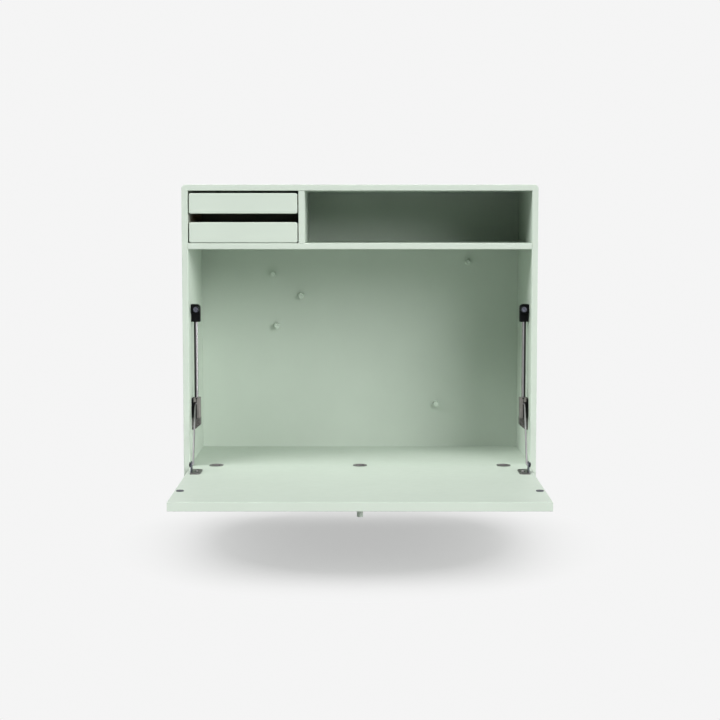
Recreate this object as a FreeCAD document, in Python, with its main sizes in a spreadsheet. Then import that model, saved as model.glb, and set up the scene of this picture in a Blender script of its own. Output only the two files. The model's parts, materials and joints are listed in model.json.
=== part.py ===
import FreeCAD, Part
import math
import os
import re
import Sketcher

# A fold down wall desk: a mitred carcass hung on the wall, a flap on flush hinges with two brake
# stays, five pegs on the back wall, an open compartment and two drawers.
#
# Millimetres. The origin is midway between the two wall screw openings, on the wall plane.
# +X is to the right, +Y into the wall and +Z up. The flap is modelled open and level.
# Inside this file every level counts from the carcass underside and every depth from the wall.

SIZES = {
    # carcass
    "width": 696,
    "height": 582,
    "depth": 300,
    "panel": 12,
    "corner_round": 8,
    "edge_round": 1.5,
    "back_thick": 8,
    "back_recess": 8,
    "back_groove": 4,
    "groove_play": 0.1,
    "top_bay": 102,
    "drawer_bay": 216,
    # dowels of the shelf and the divider
    "dowel_radius": 3,
    "dowel_length": 22,
    "dowel_sunk": 8,
    "dowel_margin": 42,
    "glue_play": 0.03,
    # flap and the floor that it lies flush with
    "leaf": 16,
    "seam_gap": 0.6,
    "leaf_side_gap": 1.5,
    "leaf_top_gap": 3,
    "leaf_edge": 0.8,
    # flush hinges
    "hinge_inset": 51,
    "hinge_reach": 6,
    "flange_radius": 13.7,
    "flange_thick": 1.8,
    "cup_radius": 12.2,
    "cup_deep": 10,
    "cup_play": 0.1,
    "barrel_radius": 2,
    "barrel_half": 8,
    "knuckle_half": 3.7,
    "knuckle_gap": 0.3,
    "pin_radius": 1,
    "pin_play": 0.05,
    # pegs
    "peg_radius": 6,
    "peg_out": 15,
    "peg_edge": 0.8,
    "peg_dimple": 2.4,
    "peg_dimple_deep": 1,
    "tenon_radius": 3,
    "tenon_long": 5.5,
    "tenon_room": 0.5,
    "peg_1_in": 151,
    "peg_1_drop": 59,
    "peg_2_in": 211,
    "peg_2_drop": 104.5,
    "peg_3_in": 159.5,
    "peg_3_drop": 168,
    "peg_4_in": 107,
    "peg_4_drop": 33.5,
    "peg_5_in": 173,
    "peg_5_drop": 335,
    # flap stays: places are given from the side panel's inner face and from the rod's axis
    "rod_radius": 4,
    "rod_in": 8.8,
    "rod_inset": 54,
    "rod_play": 0.05,
    "stay_wide": 18,
    "head_low": 311,
    "head_high": 346,
    "head_step": 17,
    "head_round": 6,
    "head_back": 8,
    "head_front": 7,
    "head_cap_front": 12,
    "head_bore": 14,
    "foot_low": 95,
    "foot_high": 119,
    "foot_toe": 5,
    "foot_heel": 10,
    "foot_back": 18,
    "foot_front": 8,
    "foot_bore": 13,
    "stay_screw_radius": 1.75,
    "stay_screw_head": 3.3,
    "stay_screw_sink": 2,
    "stay_screw_grip": 9,
    "head_screw_down": 9,
    "foot_screw_back": 13,
    "foot_screw_down": 9,
    "catch_in": 12.2,
    "catch_level": 337,
    "catch_gap": 0.3,
    "boss_radius": 5.8,
    "magnet_radius": 5.2,
    "magnet_thick": 3,
    "magnet_dimple": 1.6,
    "magnet_dimple_deep": 0.6,
    "strike_radius": 6.9,
    "strike_thick": 3,
    "strike_proud": 1.8,
    "strike_edge": 0.3,
    # brake slider
    "slider_wide": 17.2,
    "slider_tall": 40.4,
    "slider_front": 16,
    "slider_back": 8,
    "slider_gap": 0.4,
    "slider_round": 1.6,
    "channel_play": 0.3,
    "slot_near": 4.4,
    "slot_far": 10.8,
    "slot_deep": 8.3,
    "slot_over": 3.6,
    "slider_pin_out": 12,
    "slider_pin_level": 148,
    "slider_pin_hold": 5.2,
    # wire link and its clip
    "wire_radius": 2,
    "wire_play": 0.05,
    "wire_bend": 2.6,
    "link_gap": 0.2,
    "link_high_in": 7.4,
    "link_low_end": 6,
    "link_high_end": 15.6,
    "clip_radius": 4.5,
    "clip_thick": 2.8,
    "clip_gap": 0.4,
    "clip_edge": 0.7,
    # flap bracket
    "bracket_in": 9.8,
    "bracket_wide": 20,
    "bracket_sheet": 2,
    "bracket_pin_out": 92,
    "bracket_pin_up": 15,
    "bracket_back": 31,
    "bracket_front": 27,
    "bracket_corner": 8,
    "leg_foot": 15,
    "leg_step": 4,
    "leg_round": 6,
    "bracket_bend": 1.5,
    "bracket_screw_in": 11.4,
    "bracket_screw_radius": 1.75,
    "bracket_screw_head": 3.8,
    "bracket_screw_cap": 2.2,
    "bracket_screw_long": 12,
    "bracket_screw_play": 0.4,
    # pull knob
    "knob_radius": 4.5,
    "knob_long": 20,
    "knob_edge": 1,
    "knob_in": 50,
    "knob_tenon": 2.5,
    "knob_tenon_long": 8,
    # drawers
    "drawer_side_gap": 2,
    "drawer_bottom_gap": 1.5,
    "finger_gap": 16,
    "drawer_top_gap": 3.5,
    "front_thick": 12,
    "front_corner": 4,
    "front_edge": 1.8,
    "box_long": 240,
    "box_side": 9,
    "box_up": 3,
    "box_tall": 33,
    "box_bottom": 4,
    "box_bottom_up": 2,
    "box_groove": 3,
    "box_play": 0.1,
    "runner_tall": 8,
    "runner_thick": 6,
    "runner_up": 19,
    "runner_back": 20,
    "runner_front": 20,
    "runner_play": 0.3,
    "runner_edge": 1,
    # wall hangers
    "hanger_edge": 3,
    "hanger_wide": 45,
    "hanger_tall": 50,
    "hanger_thick": 2,
    "hanger_corner": 3,
    "hanger_play": 0.15,
    "hanger_hole": 6,
    "hanger_hole_in": 28,
    "hanger_drop": 32,
    "hanger_slot": 3,
    "hanger_slot_up": 8,
    "hanger_screw_radius": 1.5,
    "hanger_screw_head": 2.8,
    "hanger_screw_sink": 1.3,
    "hanger_screw_long": 14,
    "hanger_screw_end": 9,
    "hanger_screw_step": 20,
}

ALIAS = re.compile(r"\b(" + "|".join(sorted(SIZES, key=len, reverse=True)) + r")\b")

# places that several pieces share, as formulas on the sizes
UNDER = "(hanger_drop - height)"
HALF = "(width / 2)"
INSIDE = "(width / 2 - panel)"
MITRE = "(corner_round * (1 - sqrt(0.5)))"
BACK_FACE = "(back_recess + back_thick)"
SHELF_TOP = "(height - panel - top_bay)"
SHELF_UNDER = "(height - panel - top_bay - panel)"
SHELF_MIDDLE = "(height - panel - top_bay - panel / 2)"
DIVIDER_LEFT = "(drawer_bay - width / 2 + panel)"
FLOOR_TOP = "(panel + leaf)"
SEAM = "(depth - leaf)"
LEAF_LONG = f"({SHELF_UNDER} - {FLOOR_TOP} - leaf_top_gap)"
CATCH_FACE = f"({SEAM} - strike_proud - catch_gap)"
CATCH_REACH = f"(catch_level - {FLOOR_TOP})"
BRACKET_PIN = f"({SEAM} + bracket_pin_out)"
BRACKET_PIN_LEVEL = f"({FLOOR_TOP} + bracket_pin_up)"
ROD_OUT = "(depth - rod_inset)"
SLIDER_PIN = f"({ROD_OUT} + slider_pin_out)"
LINK_RUN = f"({BRACKET_PIN} - {SLIDER_PIN})"
LINK_RISE = f"(slider_pin_level - {BRACKET_PIN_LEVEL})"
LINK_LOW_IN = "(bracket_in + bracket_sheet + link_gap + wire_bend)"
LINK_LONG = f"sqrt({LINK_RUN} * {LINK_RUN} + {LINK_RISE} * {LINK_RISE})"
FRONT_TALL = "((top_bay - drawer_bottom_gap - finger_gap - drawer_top_gap) / 2)"
BOX_BACK = "(depth - front_thick - box_long)"

LEFT, RIGHT = -1, 1
SIDES = {"left": LEFT, "right": RIGHT}
HINGES = {"left": f"(hinge_inset - {INSIDE})", "centre": "0", "right": f"({INSIDE} - hinge_inset)"}
NORMAL = {"XY": 2, "XZ": 1, "YZ": 0}

document = FreeCAD.newDocument("fold_down_wall_desk")
sheet = document.addObject("Spreadsheet::Sheet", "sizes")
pieces = []


def fill_sheet():
    """Write each size in a cell of its own, with its name as the cell's alias."""
    for row, (name, size) in enumerate(SIZES.items(), 1):
        sheet.set(f"A{row}", name)
        sheet.set(f"B{row}", str(size))
        sheet.setAlias(f"B{row}", name)
    document.recompute()


def formula(text):
    """Turn a formula on size names into an expression on the sheet's cells."""
    return ALIAS.sub(r"sizes.\1", str(text))


def value(text):
    """The present value of a formula."""
    return float(sheet.evalExpression(formula(text)))


def bind(item, name, text):
    item.setExpression(name, formula(text))


def inward(side, distance):
    """X of a point that lies this far from a side panel's inner face, into the desk."""
    return f"({side} * ({INSIDE} - ({distance})))"


# ---------------------------------------------------------------- building blocks


def new_body(label, x="0", depth="0", level="0"):
    """A body whose origin is on the centre line, at this depth and level."""
    body = document.addObject("PartDesign::Body", label)
    body.Label = label
    bind(body, "Placement.Base.x", x)
    bind(body, "Placement.Base.y", f"0 - ({depth})")
    bind(body, "Placement.Base.z", f"{UNDER} + {level}")
    pieces.append(body)
    return body


def sketch_on(body, plane, offset="0"):
    """A sketch on one of the body's planes, moved along that plane's normal."""
    sketch = body.newObject("Sketcher::SketchObject", body.Label + "_sketch")
    support = [item for item in body.Origin.OriginFeatures if item.Role == plane + "_Plane"]
    sketch.AttachmentSupport = [(support[0], "")]
    sketch.MapMode = "FlatFace"
    bind(sketch, "AttachmentOffset.Base.z", offset)
    return sketch


def fix_point(sketch, edge, end, x, y):
    """Hold an edge's end at a place given by two formulas."""
    for kind, text in (("DistanceX", x), ("DistanceY", y)):
        rule = sketch.addConstraint(Sketcher.Constraint(kind, -1, 1, edge, end, value(text)))
        bind(sketch, f"Constraints[{rule}]", text)


def arc_between(start, end, radius):
    """The smaller arc from start to end; a positive radius turns left."""
    chord = end - start
    away = math.sqrt(max(radius * radius - chord.Length**2 / 4, 0))
    normal = FreeCAD.Vector(-chord.y, chord.x, 0).normalize()
    centre = (start + end) / 2 + normal * math.copysign(away, radius)
    circle = Part.Circle(centre, FreeCAD.Vector(0, 0, 1), abs(radius))
    first, last = (start, end) if radius > 0 else (end, start)
    return Part.ArcOfCircle(circle, circle.parameter(first), circle.parameter(last))


def outline(sketch, corners):
    """A closed outline. A corner is (x, y), or (x, y, radius) where an arc leaves it."""
    spots = [FreeCAD.Vector(value(corner[0]), value(corner[1]), 0) for corner in corners]
    edges = []
    for number, corner in enumerate(corners):
        start, end = spots[number], spots[(number + 1) % len(spots)]
        if len(corner) == 2:
            edges.append((sketch.addGeometry(Part.LineSegment(start, end), False), 1, 2))
            continue
        radius = value(corner[2])
        edge = sketch.addGeometry(arc_between(start, end, radius), False)
        edges.append((edge, 1, 2) if radius > 0 else (edge, 2, 1))
        rule = sketch.addConstraint(Sketcher.Constraint("Radius", edge, abs(radius)))
        bind(sketch, f"Constraints[{rule}]", f"abs({corner[2]})")
    for number, (edge, first, _) in enumerate(edges):
        before, _, last = edges[number - 1]
        sketch.addConstraint(Sketcher.Constraint("Coincident", before, last, edge, first))
        fix_point(sketch, edge, first, corners[number][0], corners[number][1])


def rectangle(sketch, left, bottom, right, top):
    outline(sketch, [(left, bottom), (right, bottom), (right, top), (left, top)])


def disc(sketch, x, y, radius):
    centre = FreeCAD.Vector(value(x), value(y), 0)
    circle = Part.Circle(centre, FreeCAD.Vector(0, 0, 1), value(radius))
    edge = sketch.addGeometry(circle, False)
    fix_point(sketch, edge, 3, x, y)
    rule = sketch.addConstraint(Sketcher.Constraint("Radius", edge, value(radius)))
    bind(sketch, f"Constraints[{rule}]", radius)


def volume_of(body):
    document.recompute()
    return body.Shape.Volume if body.Tip else 0.0


def pad(body, sketch, length, against=False):
    """Add material along the sketch's normal, or against it."""
    before = volume_of(body)
    feature = body.newObject("PartDesign::Pad", body.Label + "_pad")
    feature.Profile = sketch
    feature.Reversed = against
    bind(feature, "Length", length)
    if volume_of(body) <= before:
        raise RuntimeError(f"a pad adds nothing to {body.Label}")
    return feature


def pocket(body, sketch, depth, along=False):
    """Cut against the sketch's normal, or along it."""
    before = volume_of(body)
    feature = body.newObject("PartDesign::Pocket", body.Label + "_pocket")
    feature.Profile = sketch
    feature.Reversed = along
    bind(feature, "Length", depth)
    if volume_of(body) >= before:
        raise RuntimeError(f"a pocket cuts nothing from {body.Label}")
    return feature


def turn(body, sketch):
    """Revolve a sketch once round its own vertical axis."""
    feature = body.newObject("PartDesign::Revolution", body.Label + "_turned")
    feature.Profile = sketch
    feature.ReferenceAxis = (sketch, ["V_Axis"])
    feature.Angle = 360
    document.recompute()
    return feature


def ease(body, kind, size, wanted):
    """Round or bevel the edges of the body that a test picks."""
    document.recompute()
    base = body.Tip
    names = [f"Edge{n}" for n, edge in enumerate(base.Shape.Edges, 1) if wanted(edge)]
    if not names:
        raise RuntimeError(f"no edge to ease on {body.Label}")
    feature = body.newObject("PartDesign::" + kind, body.Label + "_eased")
    feature.Base = (base, names)
    bind(feature, {"Fillet": "Radius", "Chamfer": "Size"}[kind], size)
    document.recompute()
    return feature


def lies_at(edge, axis, place):
    """Whether a whole edge lies at one place along an axis, 0 for X, 1 for Y and 2 for Z."""
    box = edge.BoundBox
    low = (box.XMin, box.YMin, box.ZMin)[axis]
    high = (box.XMax, box.YMax, box.ZMax)[axis]
    return abs(low - place) < 0.01 and abs(high - place) < 0.01


def runs_along(edge, axis):
    """Whether an edge is straight and runs along an axis."""
    box = edge.BoundBox
    sides = (box.XLength, box.YLength, box.ZLength)
    return sides[axis] > 0.01 and all(sides[other] < 0.01 for other in range(3) if other != axis)


def group(label, members):
    """One sub-part made of separate solids that are alike."""
    compound = document.addObject("Part::Compound", label)
    compound.Label = label
    compound.Links = members
    bind(compound, "Placement.Base.z", UNDER)
    pieces.append(compound)
    return compound


def rod(name, radius, length, axis, x, depth, level):
    """A plain round rod from a point along +X, +Y or +Z."""
    item = document.addObject("Part::Cylinder", name)
    turns = {"X": (0, 1, 0, 90), "Y": (1, 0, 0, -90), "Z": (0, 0, 1, 0)}
    *direction, angle = turns[axis]
    item.Placement.Rotation = FreeCAD.Rotation(FreeCAD.Vector(*direction), angle)
    bind(item, "Radius", radius)
    bind(item, "Height", length)
    bind(item, "Placement.Base.x", x)
    bind(item, "Placement.Base.y", f"0 - ({depth})")
    bind(item, "Placement.Base.z", level)
    return item


def copies(pattern, places, axis, angle):
    """Linked copies of a pattern piece, turned alike and set at (x, depth, level)."""
    items = []
    for number, (x, depth, level) in enumerate(places, 1):
        item = document.addObject("App::Link", f"{pattern.Name}_{number}")
        item.LinkedObject = pattern
        item.LinkTransform = False
        turned = angle[number - 1] if isinstance(angle, list) else angle
        item.Placement.Rotation = FreeCAD.Rotation(FreeCAD.Vector(*axis), turned)
        bind(item, "Placement.Base.x", x)
        bind(item, "Placement.Base.y", f"0 - ({depth})")
        bind(item, "Placement.Base.z", level)
        items.append(item)
    return items


def pattern_body(label):
    """A body at the origin that only serves as the pattern of linked copies."""
    body = document.addObject("PartDesign::Body", label)
    body.Label = label
    return body


# ---------------------------------------------------------------- carcass


def dowel_depths():
    """Depths of the three dowels along a joint, from the back panel to the front."""
    back = f"({BACK_FACE} + dowel_margin)"
    front = "(depth - dowel_margin)"
    return [back, f"(({back} + {front}) / 2)", front]


def drill_dowels_across(body, x, level, sunk, along):
    """Dowel holes that run along X from a face at x."""
    sketch = sketch_on(body, "YZ", x)
    for depth in dowel_depths():
        disc(sketch, f"0 - {depth}", level, "dowel_radius + glue_play")
    pocket(body, sketch, sunk, along)


def drill_dowels_upright(body, level, sunk, along):
    """Dowel holes of the divider that run along Z from a face at this level."""
    sketch = sketch_on(body, "XY", level)
    for depth in dowel_depths():
        disc(sketch, f"{DIVIDER_LEFT} + panel / 2", f"0 - {depth}", "dowel_radius + glue_play")
    pocket(body, sketch, sunk, along)


def round_front(body, radius):
    """Round the front edges of a panel, but not where it is mitred."""

    def is_front(edge):
        box = edge.BoundBox
        mitred = edge.Curve.TypeId == "Part::GeomLine" and min(box.XLength, box.ZLength) > 0.01
        return lies_at(edge, 1, -value("depth")) and not mitred

    ease(body, "Fillet", radius, is_front)


def hanger_corners(side, play="0"):
    """X and level of a hanger plate's two outer corners, outer top first."""
    outer = f"({side} * ({HALF} - hanger_edge + {play}))"
    inner = f"({side} * ({HALF} - hanger_edge - hanger_wide - {play}))"
    top = f"(height - hanger_edge + {play})"
    foot = f"(height - hanger_edge - hanger_tall - {play})"
    return outer, inner, top, foot


def hanger_screw_places(side):
    """X and level of the four hanger screws: two in the side panel and two in the top panel."""
    edge = f"({side} * ({HALF} - panel / 2))"
    foot = "(height - hanger_edge - hanger_tall + hanger_screw_end)"
    end = f"({side} * ({HALF} - hanger_edge - hanger_wide + hanger_screw_end))"
    near = f"({side} * ({HALF} - hanger_edge - hanger_wide + hanger_screw_end + hanger_screw_step))"
    top = "(height - panel / 2)"
    return [(edge, foot), (edge, f"({foot} + hanger_screw_step)"), (end, top), (near, top)]


def let_in_hanger(body, side, screws):
    """The shallow rebate and the pilot holes of one wall hanger in a panel's rear edge."""
    outer, inner, top, foot = hanger_corners(side, "hanger_play")
    sketch = sketch_on(body, "XZ")
    rectangle(sketch, outer, foot, inner, top)
    pocket(body, sketch, "hanger_thick", along=True)
    sketch = sketch_on(body, "XZ")
    for x, level in screws:
        disc(sketch, x, level, "hanger_screw_radius + glue_play")
    pocket(body, sketch, "hanger_screw_long", along=True)


def make_side_panel(name, side):
    body = new_body("side_panel_" + name)
    sketch = sketch_on(body, "XZ")
    round_off = f"{side} * corner_round"
    inner = f"{side} * {INSIDE}"
    tip = f"{side} * ({HALF} - {MITRE})"
    outer = f"{side} * {HALF}"
    outline(
        sketch,
        [
            (inner, "panel"),
            (tip, MITRE, round_off),
            (outer, "corner_round"),
            (outer, "height - corner_round", round_off),
            (tip, f"height - {MITRE}"),
            (inner, "height - panel"),
        ],
    )
    pad(body, sketch, "depth")
    sketch = sketch_on(body, "XY")
    rectangle(
        sketch,
        f"{side} * {INSIDE}",
        f"0 - {BACK_FACE} - groove_play",
        f"{side} * ({INSIDE} + back_groove)",
        "groove_play - back_recess",
    )
    pocket(body, sketch, "height", along=True)
    drill_dowels_across(body, inner, SHELF_MIDDLE, "dowel_sunk", side == RIGHT)
    sketch = sketch_on(body, "YZ", inner)
    for depth, level in stay_screw_places():
        disc(sketch, f"0 - {depth}", level, "stay_screw_radius + glue_play")
    pocket(body, sketch, "stay_screw_grip", side == RIGHT)
    let_in_hanger(body, side, hanger_screw_places(side)[:2])
    round_front(body, "edge_round")


def make_level_panel(label, top):
    """The top or the bottom panel, whose outer face lies at the height or at zero."""

    def level(inset):
        return f"height - {inset}" if top else inset

    body = new_body(label)
    sketch = sketch_on(body, "XZ")
    round_off = "0 - corner_round" if top else "corner_round"
    outline(
        sketch,
        [
            (f"0 - {INSIDE}", level("panel")),
            (f"{MITRE} - {HALF}", level(MITRE), round_off),
            (f"corner_round - {HALF}", level("0")),
            (f"{HALF} - corner_round", level("0"), round_off),
            (f"{HALF} - {MITRE}", level(MITRE)),
            (INSIDE, level("panel")),
        ],
    )
    pad(body, sketch, "depth")
    sketch = sketch_on(body, "YZ", f"0 - {HALF}")
    rectangle(
        sketch,
        f"0 - {BACK_FACE} - groove_play",
        level("panel"),
        "groove_play - back_recess",
        level("(panel - back_groove)"),
    )
    pocket(body, sketch, "width", along=True)
    if top:
        drill_dowels_upright(body, "height - panel", "dowel_sunk", along=True)
        for side in SIDES.values():
            let_in_hanger(body, side, hanger_screw_places(side)[2:])
    round_front(body, "edge_round")


def peg_places():
    """X and level of the pegs: three are set in from the left side and two from the right."""
    sides = [LEFT, LEFT, LEFT, RIGHT, RIGHT]
    return [
        (inward(side, f"peg_{number}_in"), f"({SHELF_UNDER} - peg_{number}_drop)")
        for number, side in enumerate(sides, 1)
    ]


def make_back_panel():
    body = new_body("back_panel")
    sketch = sketch_on(body, "XZ", "back_recess")
    reach = f"({INSIDE} + back_groove - groove_play)"
    low = "(panel - back_groove + groove_play)"
    rectangle(sketch, f"0 - {reach}", low, reach, f"height - {low}")
    pad(body, sketch, "back_thick")
    sketch = sketch_on(body, "XZ", BACK_FACE)
    for x, level in peg_places():
        disc(sketch, x, level, "tenon_radius + glue_play")
    pocket(body, sketch, "tenon_long + tenon_room")


def make_shelf():
    body = new_body("shelf")
    sketch = sketch_on(body, "XZ", BACK_FACE)
    rectangle(sketch, f"0 - {INSIDE}", SHELF_UNDER, INSIDE, SHELF_TOP)
    pad(body, sketch, f"depth - {BACK_FACE}")
    hold = "dowel_length - dowel_sunk"
    drill_dowels_across(body, f"0 - {INSIDE}", SHELF_MIDDLE, hold, along=True)
    drill_dowels_across(body, INSIDE, SHELF_MIDDLE, hold, along=False)
    drill_dowels_upright(body, SHELF_TOP, "dowel_sunk", along=False)
    ease(
        body,
        "Fillet",
        "edge_round",
        lambda edge: lies_at(edge, 1, -value("depth")) and runs_along(edge, 0),
    )


def make_divider():
    body = new_body("drawer_divider")
    sketch = sketch_on(body, "XZ", BACK_FACE)
    rectangle(sketch, DIVIDER_LEFT, SHELF_TOP, f"{DIVIDER_LEFT} + panel", "height - panel")
    pad(body, sketch, f"depth - {BACK_FACE}")
    hold = "dowel_length - dowel_sunk"
    drill_dowels_upright(body, SHELF_TOP, hold, along=True)
    drill_dowels_upright(body, "height - panel", hold, along=False)
    ease(
        body,
        "Fillet",
        "edge_round",
        lambda edge: lies_at(edge, 1, -value("depth")) and runs_along(edge, 2),
    )


def make_dowels():
    """Three dowels at each end of the shelf and at each end of the divider."""
    starts = [
        ("X", f"0 - {INSIDE} - dowel_sunk", SHELF_MIDDLE),
        ("X", f"{INSIDE} + dowel_sunk - dowel_length", SHELF_MIDDLE),
        ("Z", f"{DIVIDER_LEFT} + panel / 2", f"{SHELF_TOP} - dowel_sunk"),
        ("Z", f"{DIVIDER_LEFT} + panel / 2", "height - panel + dowel_sunk - dowel_length"),
    ]
    dowels = [
        rod("dowel", "dowel_radius", "dowel_length", axis, x, depth, level)
        for axis, x, level in starts
        for depth in dowel_depths()
    ]
    group("panel_dowels", dowels)


def make_hinge_board():
    body = new_body("hinge_board")
    sketch = sketch_on(body, "XZ", BACK_FACE)
    rectangle(sketch, f"0 - {INSIDE}", "panel", INSIDE, FLOOR_TOP)
    pad(body, sketch, f"{SEAM} - seam_gap / 2 - {BACK_FACE}")
    sink_hinges(body, on_flap=False)


def make_pegs():
    """Turned pegs with a tenon glued into the back panel and a dimple in the end."""
    for number, (x, level) in enumerate(peg_places(), 1):
        body = new_body(f"peg_{number}", x, BACK_FACE, level)
        body.Placement.Rotation = FreeCAD.Rotation(FreeCAD.Vector(1, 0, 0), 90)
        sketch = sketch_on(body, "XZ")
        outline(
            sketch,
            [
                ("0", "0 - tenon_long"),
                ("tenon_radius", "0 - tenon_long"),
                ("tenon_radius", "0"),
                ("peg_radius", "0"),
                ("peg_radius", "peg_out - peg_edge", "peg_edge"),
                ("peg_radius - peg_edge", "peg_out"),
                ("peg_dimple", "peg_out"),
                ("0", "peg_out - peg_dimple_deep"),
            ],
        )
        turn(body, sketch)


# ---------------------------------------------------------------- hinges and flap


def round_ended(sketch, x, radius, on_flap, start="seam_gap / 2"):
    """A plate that runs from the seam to a round end, on the flap's or on the floor's side."""
    way = -1 if on_flap else 1
    near = f"{way} * {start} - {SEAM}"
    far = f"{way} * hinge_reach - {SEAM}"
    outline(
        sketch,
        [
            (f"{x} - {way} * ({radius})", near),
            (f"{x} + {way} * ({radius})", near),
            (f"{x} + {way} * ({radius})", far, radius),
            (x, f"{far} + {way} * ({radius})", radius),
            (f"{x} - {way} * ({radius})", far),
        ],
    )


def sink_hinges(body, on_flap):
    """The seats of the three flush hinges in the floor or in the flap, open at the seam."""
    for radius, deep in (("flange_radius", "flange_thick"), ("cup_radius", "cup_deep")):
        sketch = sketch_on(body, "XY", FLOOR_TOP)
        for x in HINGES.values():
            round_ended(sketch, x, f"{radius} + cup_play", on_flap, "0")
        pocket(body, sketch, f"{deep} + cup_play * ({deep} - flange_thick) / cup_deep")


def barrel(body, start, length, radius, cut=False):
    """A round bar on the hinge axis, added to the body or cut from it."""
    sketch = sketch_on(body, "YZ", start)
    disc(sketch, f"0 - {SEAM}", FLOOR_TOP, radius)
    if cut:
        pocket(body, sketch, length, along=True)
    else:
        pad(body, sketch, length)


def make_hinge_half(name, x, on_flap):
    """A round ended cup with its flange flush and its share of the knuckles on the seam."""
    body = new_body(("flap_hinge_" if on_flap else "floor_hinge_") + name)
    sketch = sketch_on(body, "XY", f"{FLOOR_TOP} - flange_thick")
    round_ended(sketch, x, "flange_radius", on_flap)
    pad(body, sketch, "flange_thick")
    sketch = sketch_on(body, "XY", f"{FLOOR_TOP} - cup_deep")
    round_ended(sketch, x, "cup_radius", on_flap)
    pad(body, sketch, "cup_deep - flange_thick")
    relief = "barrel_radius + knuckle_gap"
    inner, outer = "(knuckle_half + knuckle_gap)", "(barrel_half + knuckle_gap)"
    side_long = "(barrel_half - knuckle_half - knuckle_gap)"
    if on_flap:
        relief_long = f"({outer} - knuckle_half)"
        barrel(body, f"{x} - {outer}", relief_long, relief, cut=True)
        barrel(body, f"{x} + knuckle_half", relief_long, relief, cut=True)
        barrel(body, f"{x} - knuckle_half", "2 * knuckle_half", "barrel_radius")
    else:
        barrel(body, f"{x} - {inner}", f"2 * {inner}", relief, cut=True)
        barrel(body, f"{x} - barrel_half", side_long, "barrel_radius")
        barrel(body, f"{x} + {inner}", side_long, "barrel_radius")
    barrel(body, f"{x} - {outer}", f"2 * {outer}", "pin_radius + pin_play", cut=True)


def make_hinge_pins():
    group(
        "hinge_pins",
        [
            rod("hinge_pin", "pin_radius", "2 * barrel_half", "X", f"{x} - barrel_half", SEAM, FLOOR_TOP)
            for x in HINGES.values()
        ],
    )


def make_flap_board():
    body = new_body("flap_board")
    sketch = sketch_on(body, "XY", "panel")
    half = f"({INSIDE} - leaf_side_gap)"
    front = f"0 - {SEAM} - {LEAF_LONG}"
    rectangle(sketch, f"0 - {half}", front, half, f"0 - {SEAM} - seam_gap / 2")
    pad(body, sketch, "leaf")
    seam = -value(f"{SEAM} + seam_gap / 2")
    ease(body, "Fillet", "leaf_edge", lambda edge: not lies_at(edge, 1, seam))
    sink_hinges(body, on_flap=True)
    sketch = sketch_on(body, "XY", FLOOR_TOP)
    for side in SIDES.values():
        disc(sketch, inward(side, "catch_in"), f"0 - {SEAM} - {CATCH_REACH}", "strike_radius + glue_play")
    pocket(body, sketch, "strike_thick - strike_proud")
    sketch = sketch_on(body, "XY", FLOOR_TOP)
    for x, depth in bracket_screw_places():
        disc(sketch, x, f"0 - {depth}", "bracket_screw_radius + glue_play")
    pocket(body, sketch, "bracket_screw_long - bracket_sheet")
    sketch = sketch_on(body, "XY", "panel")
    disc(sketch, "0", f"knob_in - {SEAM} - {LEAF_LONG}", "knob_tenon + glue_play")
    pocket(body, sketch, "knob_tenon_long", along=True)


def make_pull_knob():
    """The turned knob on the flap's outer face, which is its underside while it is open."""
    body = new_body("pull_knob", "0", f"{SEAM} + {LEAF_LONG} - knob_in", "panel")
    body.Placement.Rotation = FreeCAD.Rotation(FreeCAD.Vector(1, 0, 0), 180)
    sketch = sketch_on(body, "XZ")
    outline(
        sketch,
        [
            ("0", "0 - knob_tenon_long"),
            ("knob_tenon", "0 - knob_tenon_long"),
            ("knob_tenon", "0"),
            ("knob_radius", "0"),
            ("knob_radius", "knob_long - knob_edge", "knob_edge"),
            ("knob_radius - knob_edge", "knob_long"),
            ("0", "knob_long"),
        ],
    )
    turn(body, sketch)


def make_strike_disc(name, side):
    level = f"{FLOOR_TOP} + strike_proud - strike_thick"
    body = new_body("strike_disc_" + name, inward(side, "catch_in"), f"{SEAM} + {CATCH_REACH}", level)
    sketch = sketch_on(body, "XY")
    disc(sketch, "0", "0", "strike_radius")
    pad(body, sketch, "strike_thick")
    top = value("strike_thick")
    ease(body, "Chamfer", "strike_edge", lambda edge: lies_at(edge, 2, top))


# ---------------------------------------------------------------- flap stays


def stay_screw_places():
    """Depth and level of the screws that hold a stay's head and foot to the side panel."""
    return [
        (ROD_OUT, "head_high - head_screw_down"),
        (f"({ROD_OUT} - foot_screw_back)", "foot_high - foot_screw_down"),
    ]


def drill_for_rod(body, side, level, deep, along):
    sketch = sketch_on(body, "XY", level)
    disc(sketch, inward(side, "rod_in"), f"0 - {ROD_OUT}", "rod_radius + rod_play")
    pocket(body, sketch, deep, along)


def drill_for_screw(body, side, place):
    """A countersunk hole from the inner face of a stay's head or foot to the side panel."""
    depth, level = place
    sketch = sketch_on(body, "YZ", inward(side, "stay_wide"))
    disc(sketch, f"0 - {depth}", level, "stay_screw_radius + glue_play")
    pocket(body, sketch, "stay_wide", side == RIGHT)
    sketch = sketch_on(body, "YZ", inward(side, "stay_wide"))
    disc(sketch, f"0 - {depth}", level, "stay_screw_head + glue_play")
    pocket(body, sketch, "stay_screw_sink", side == RIGHT)


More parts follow.
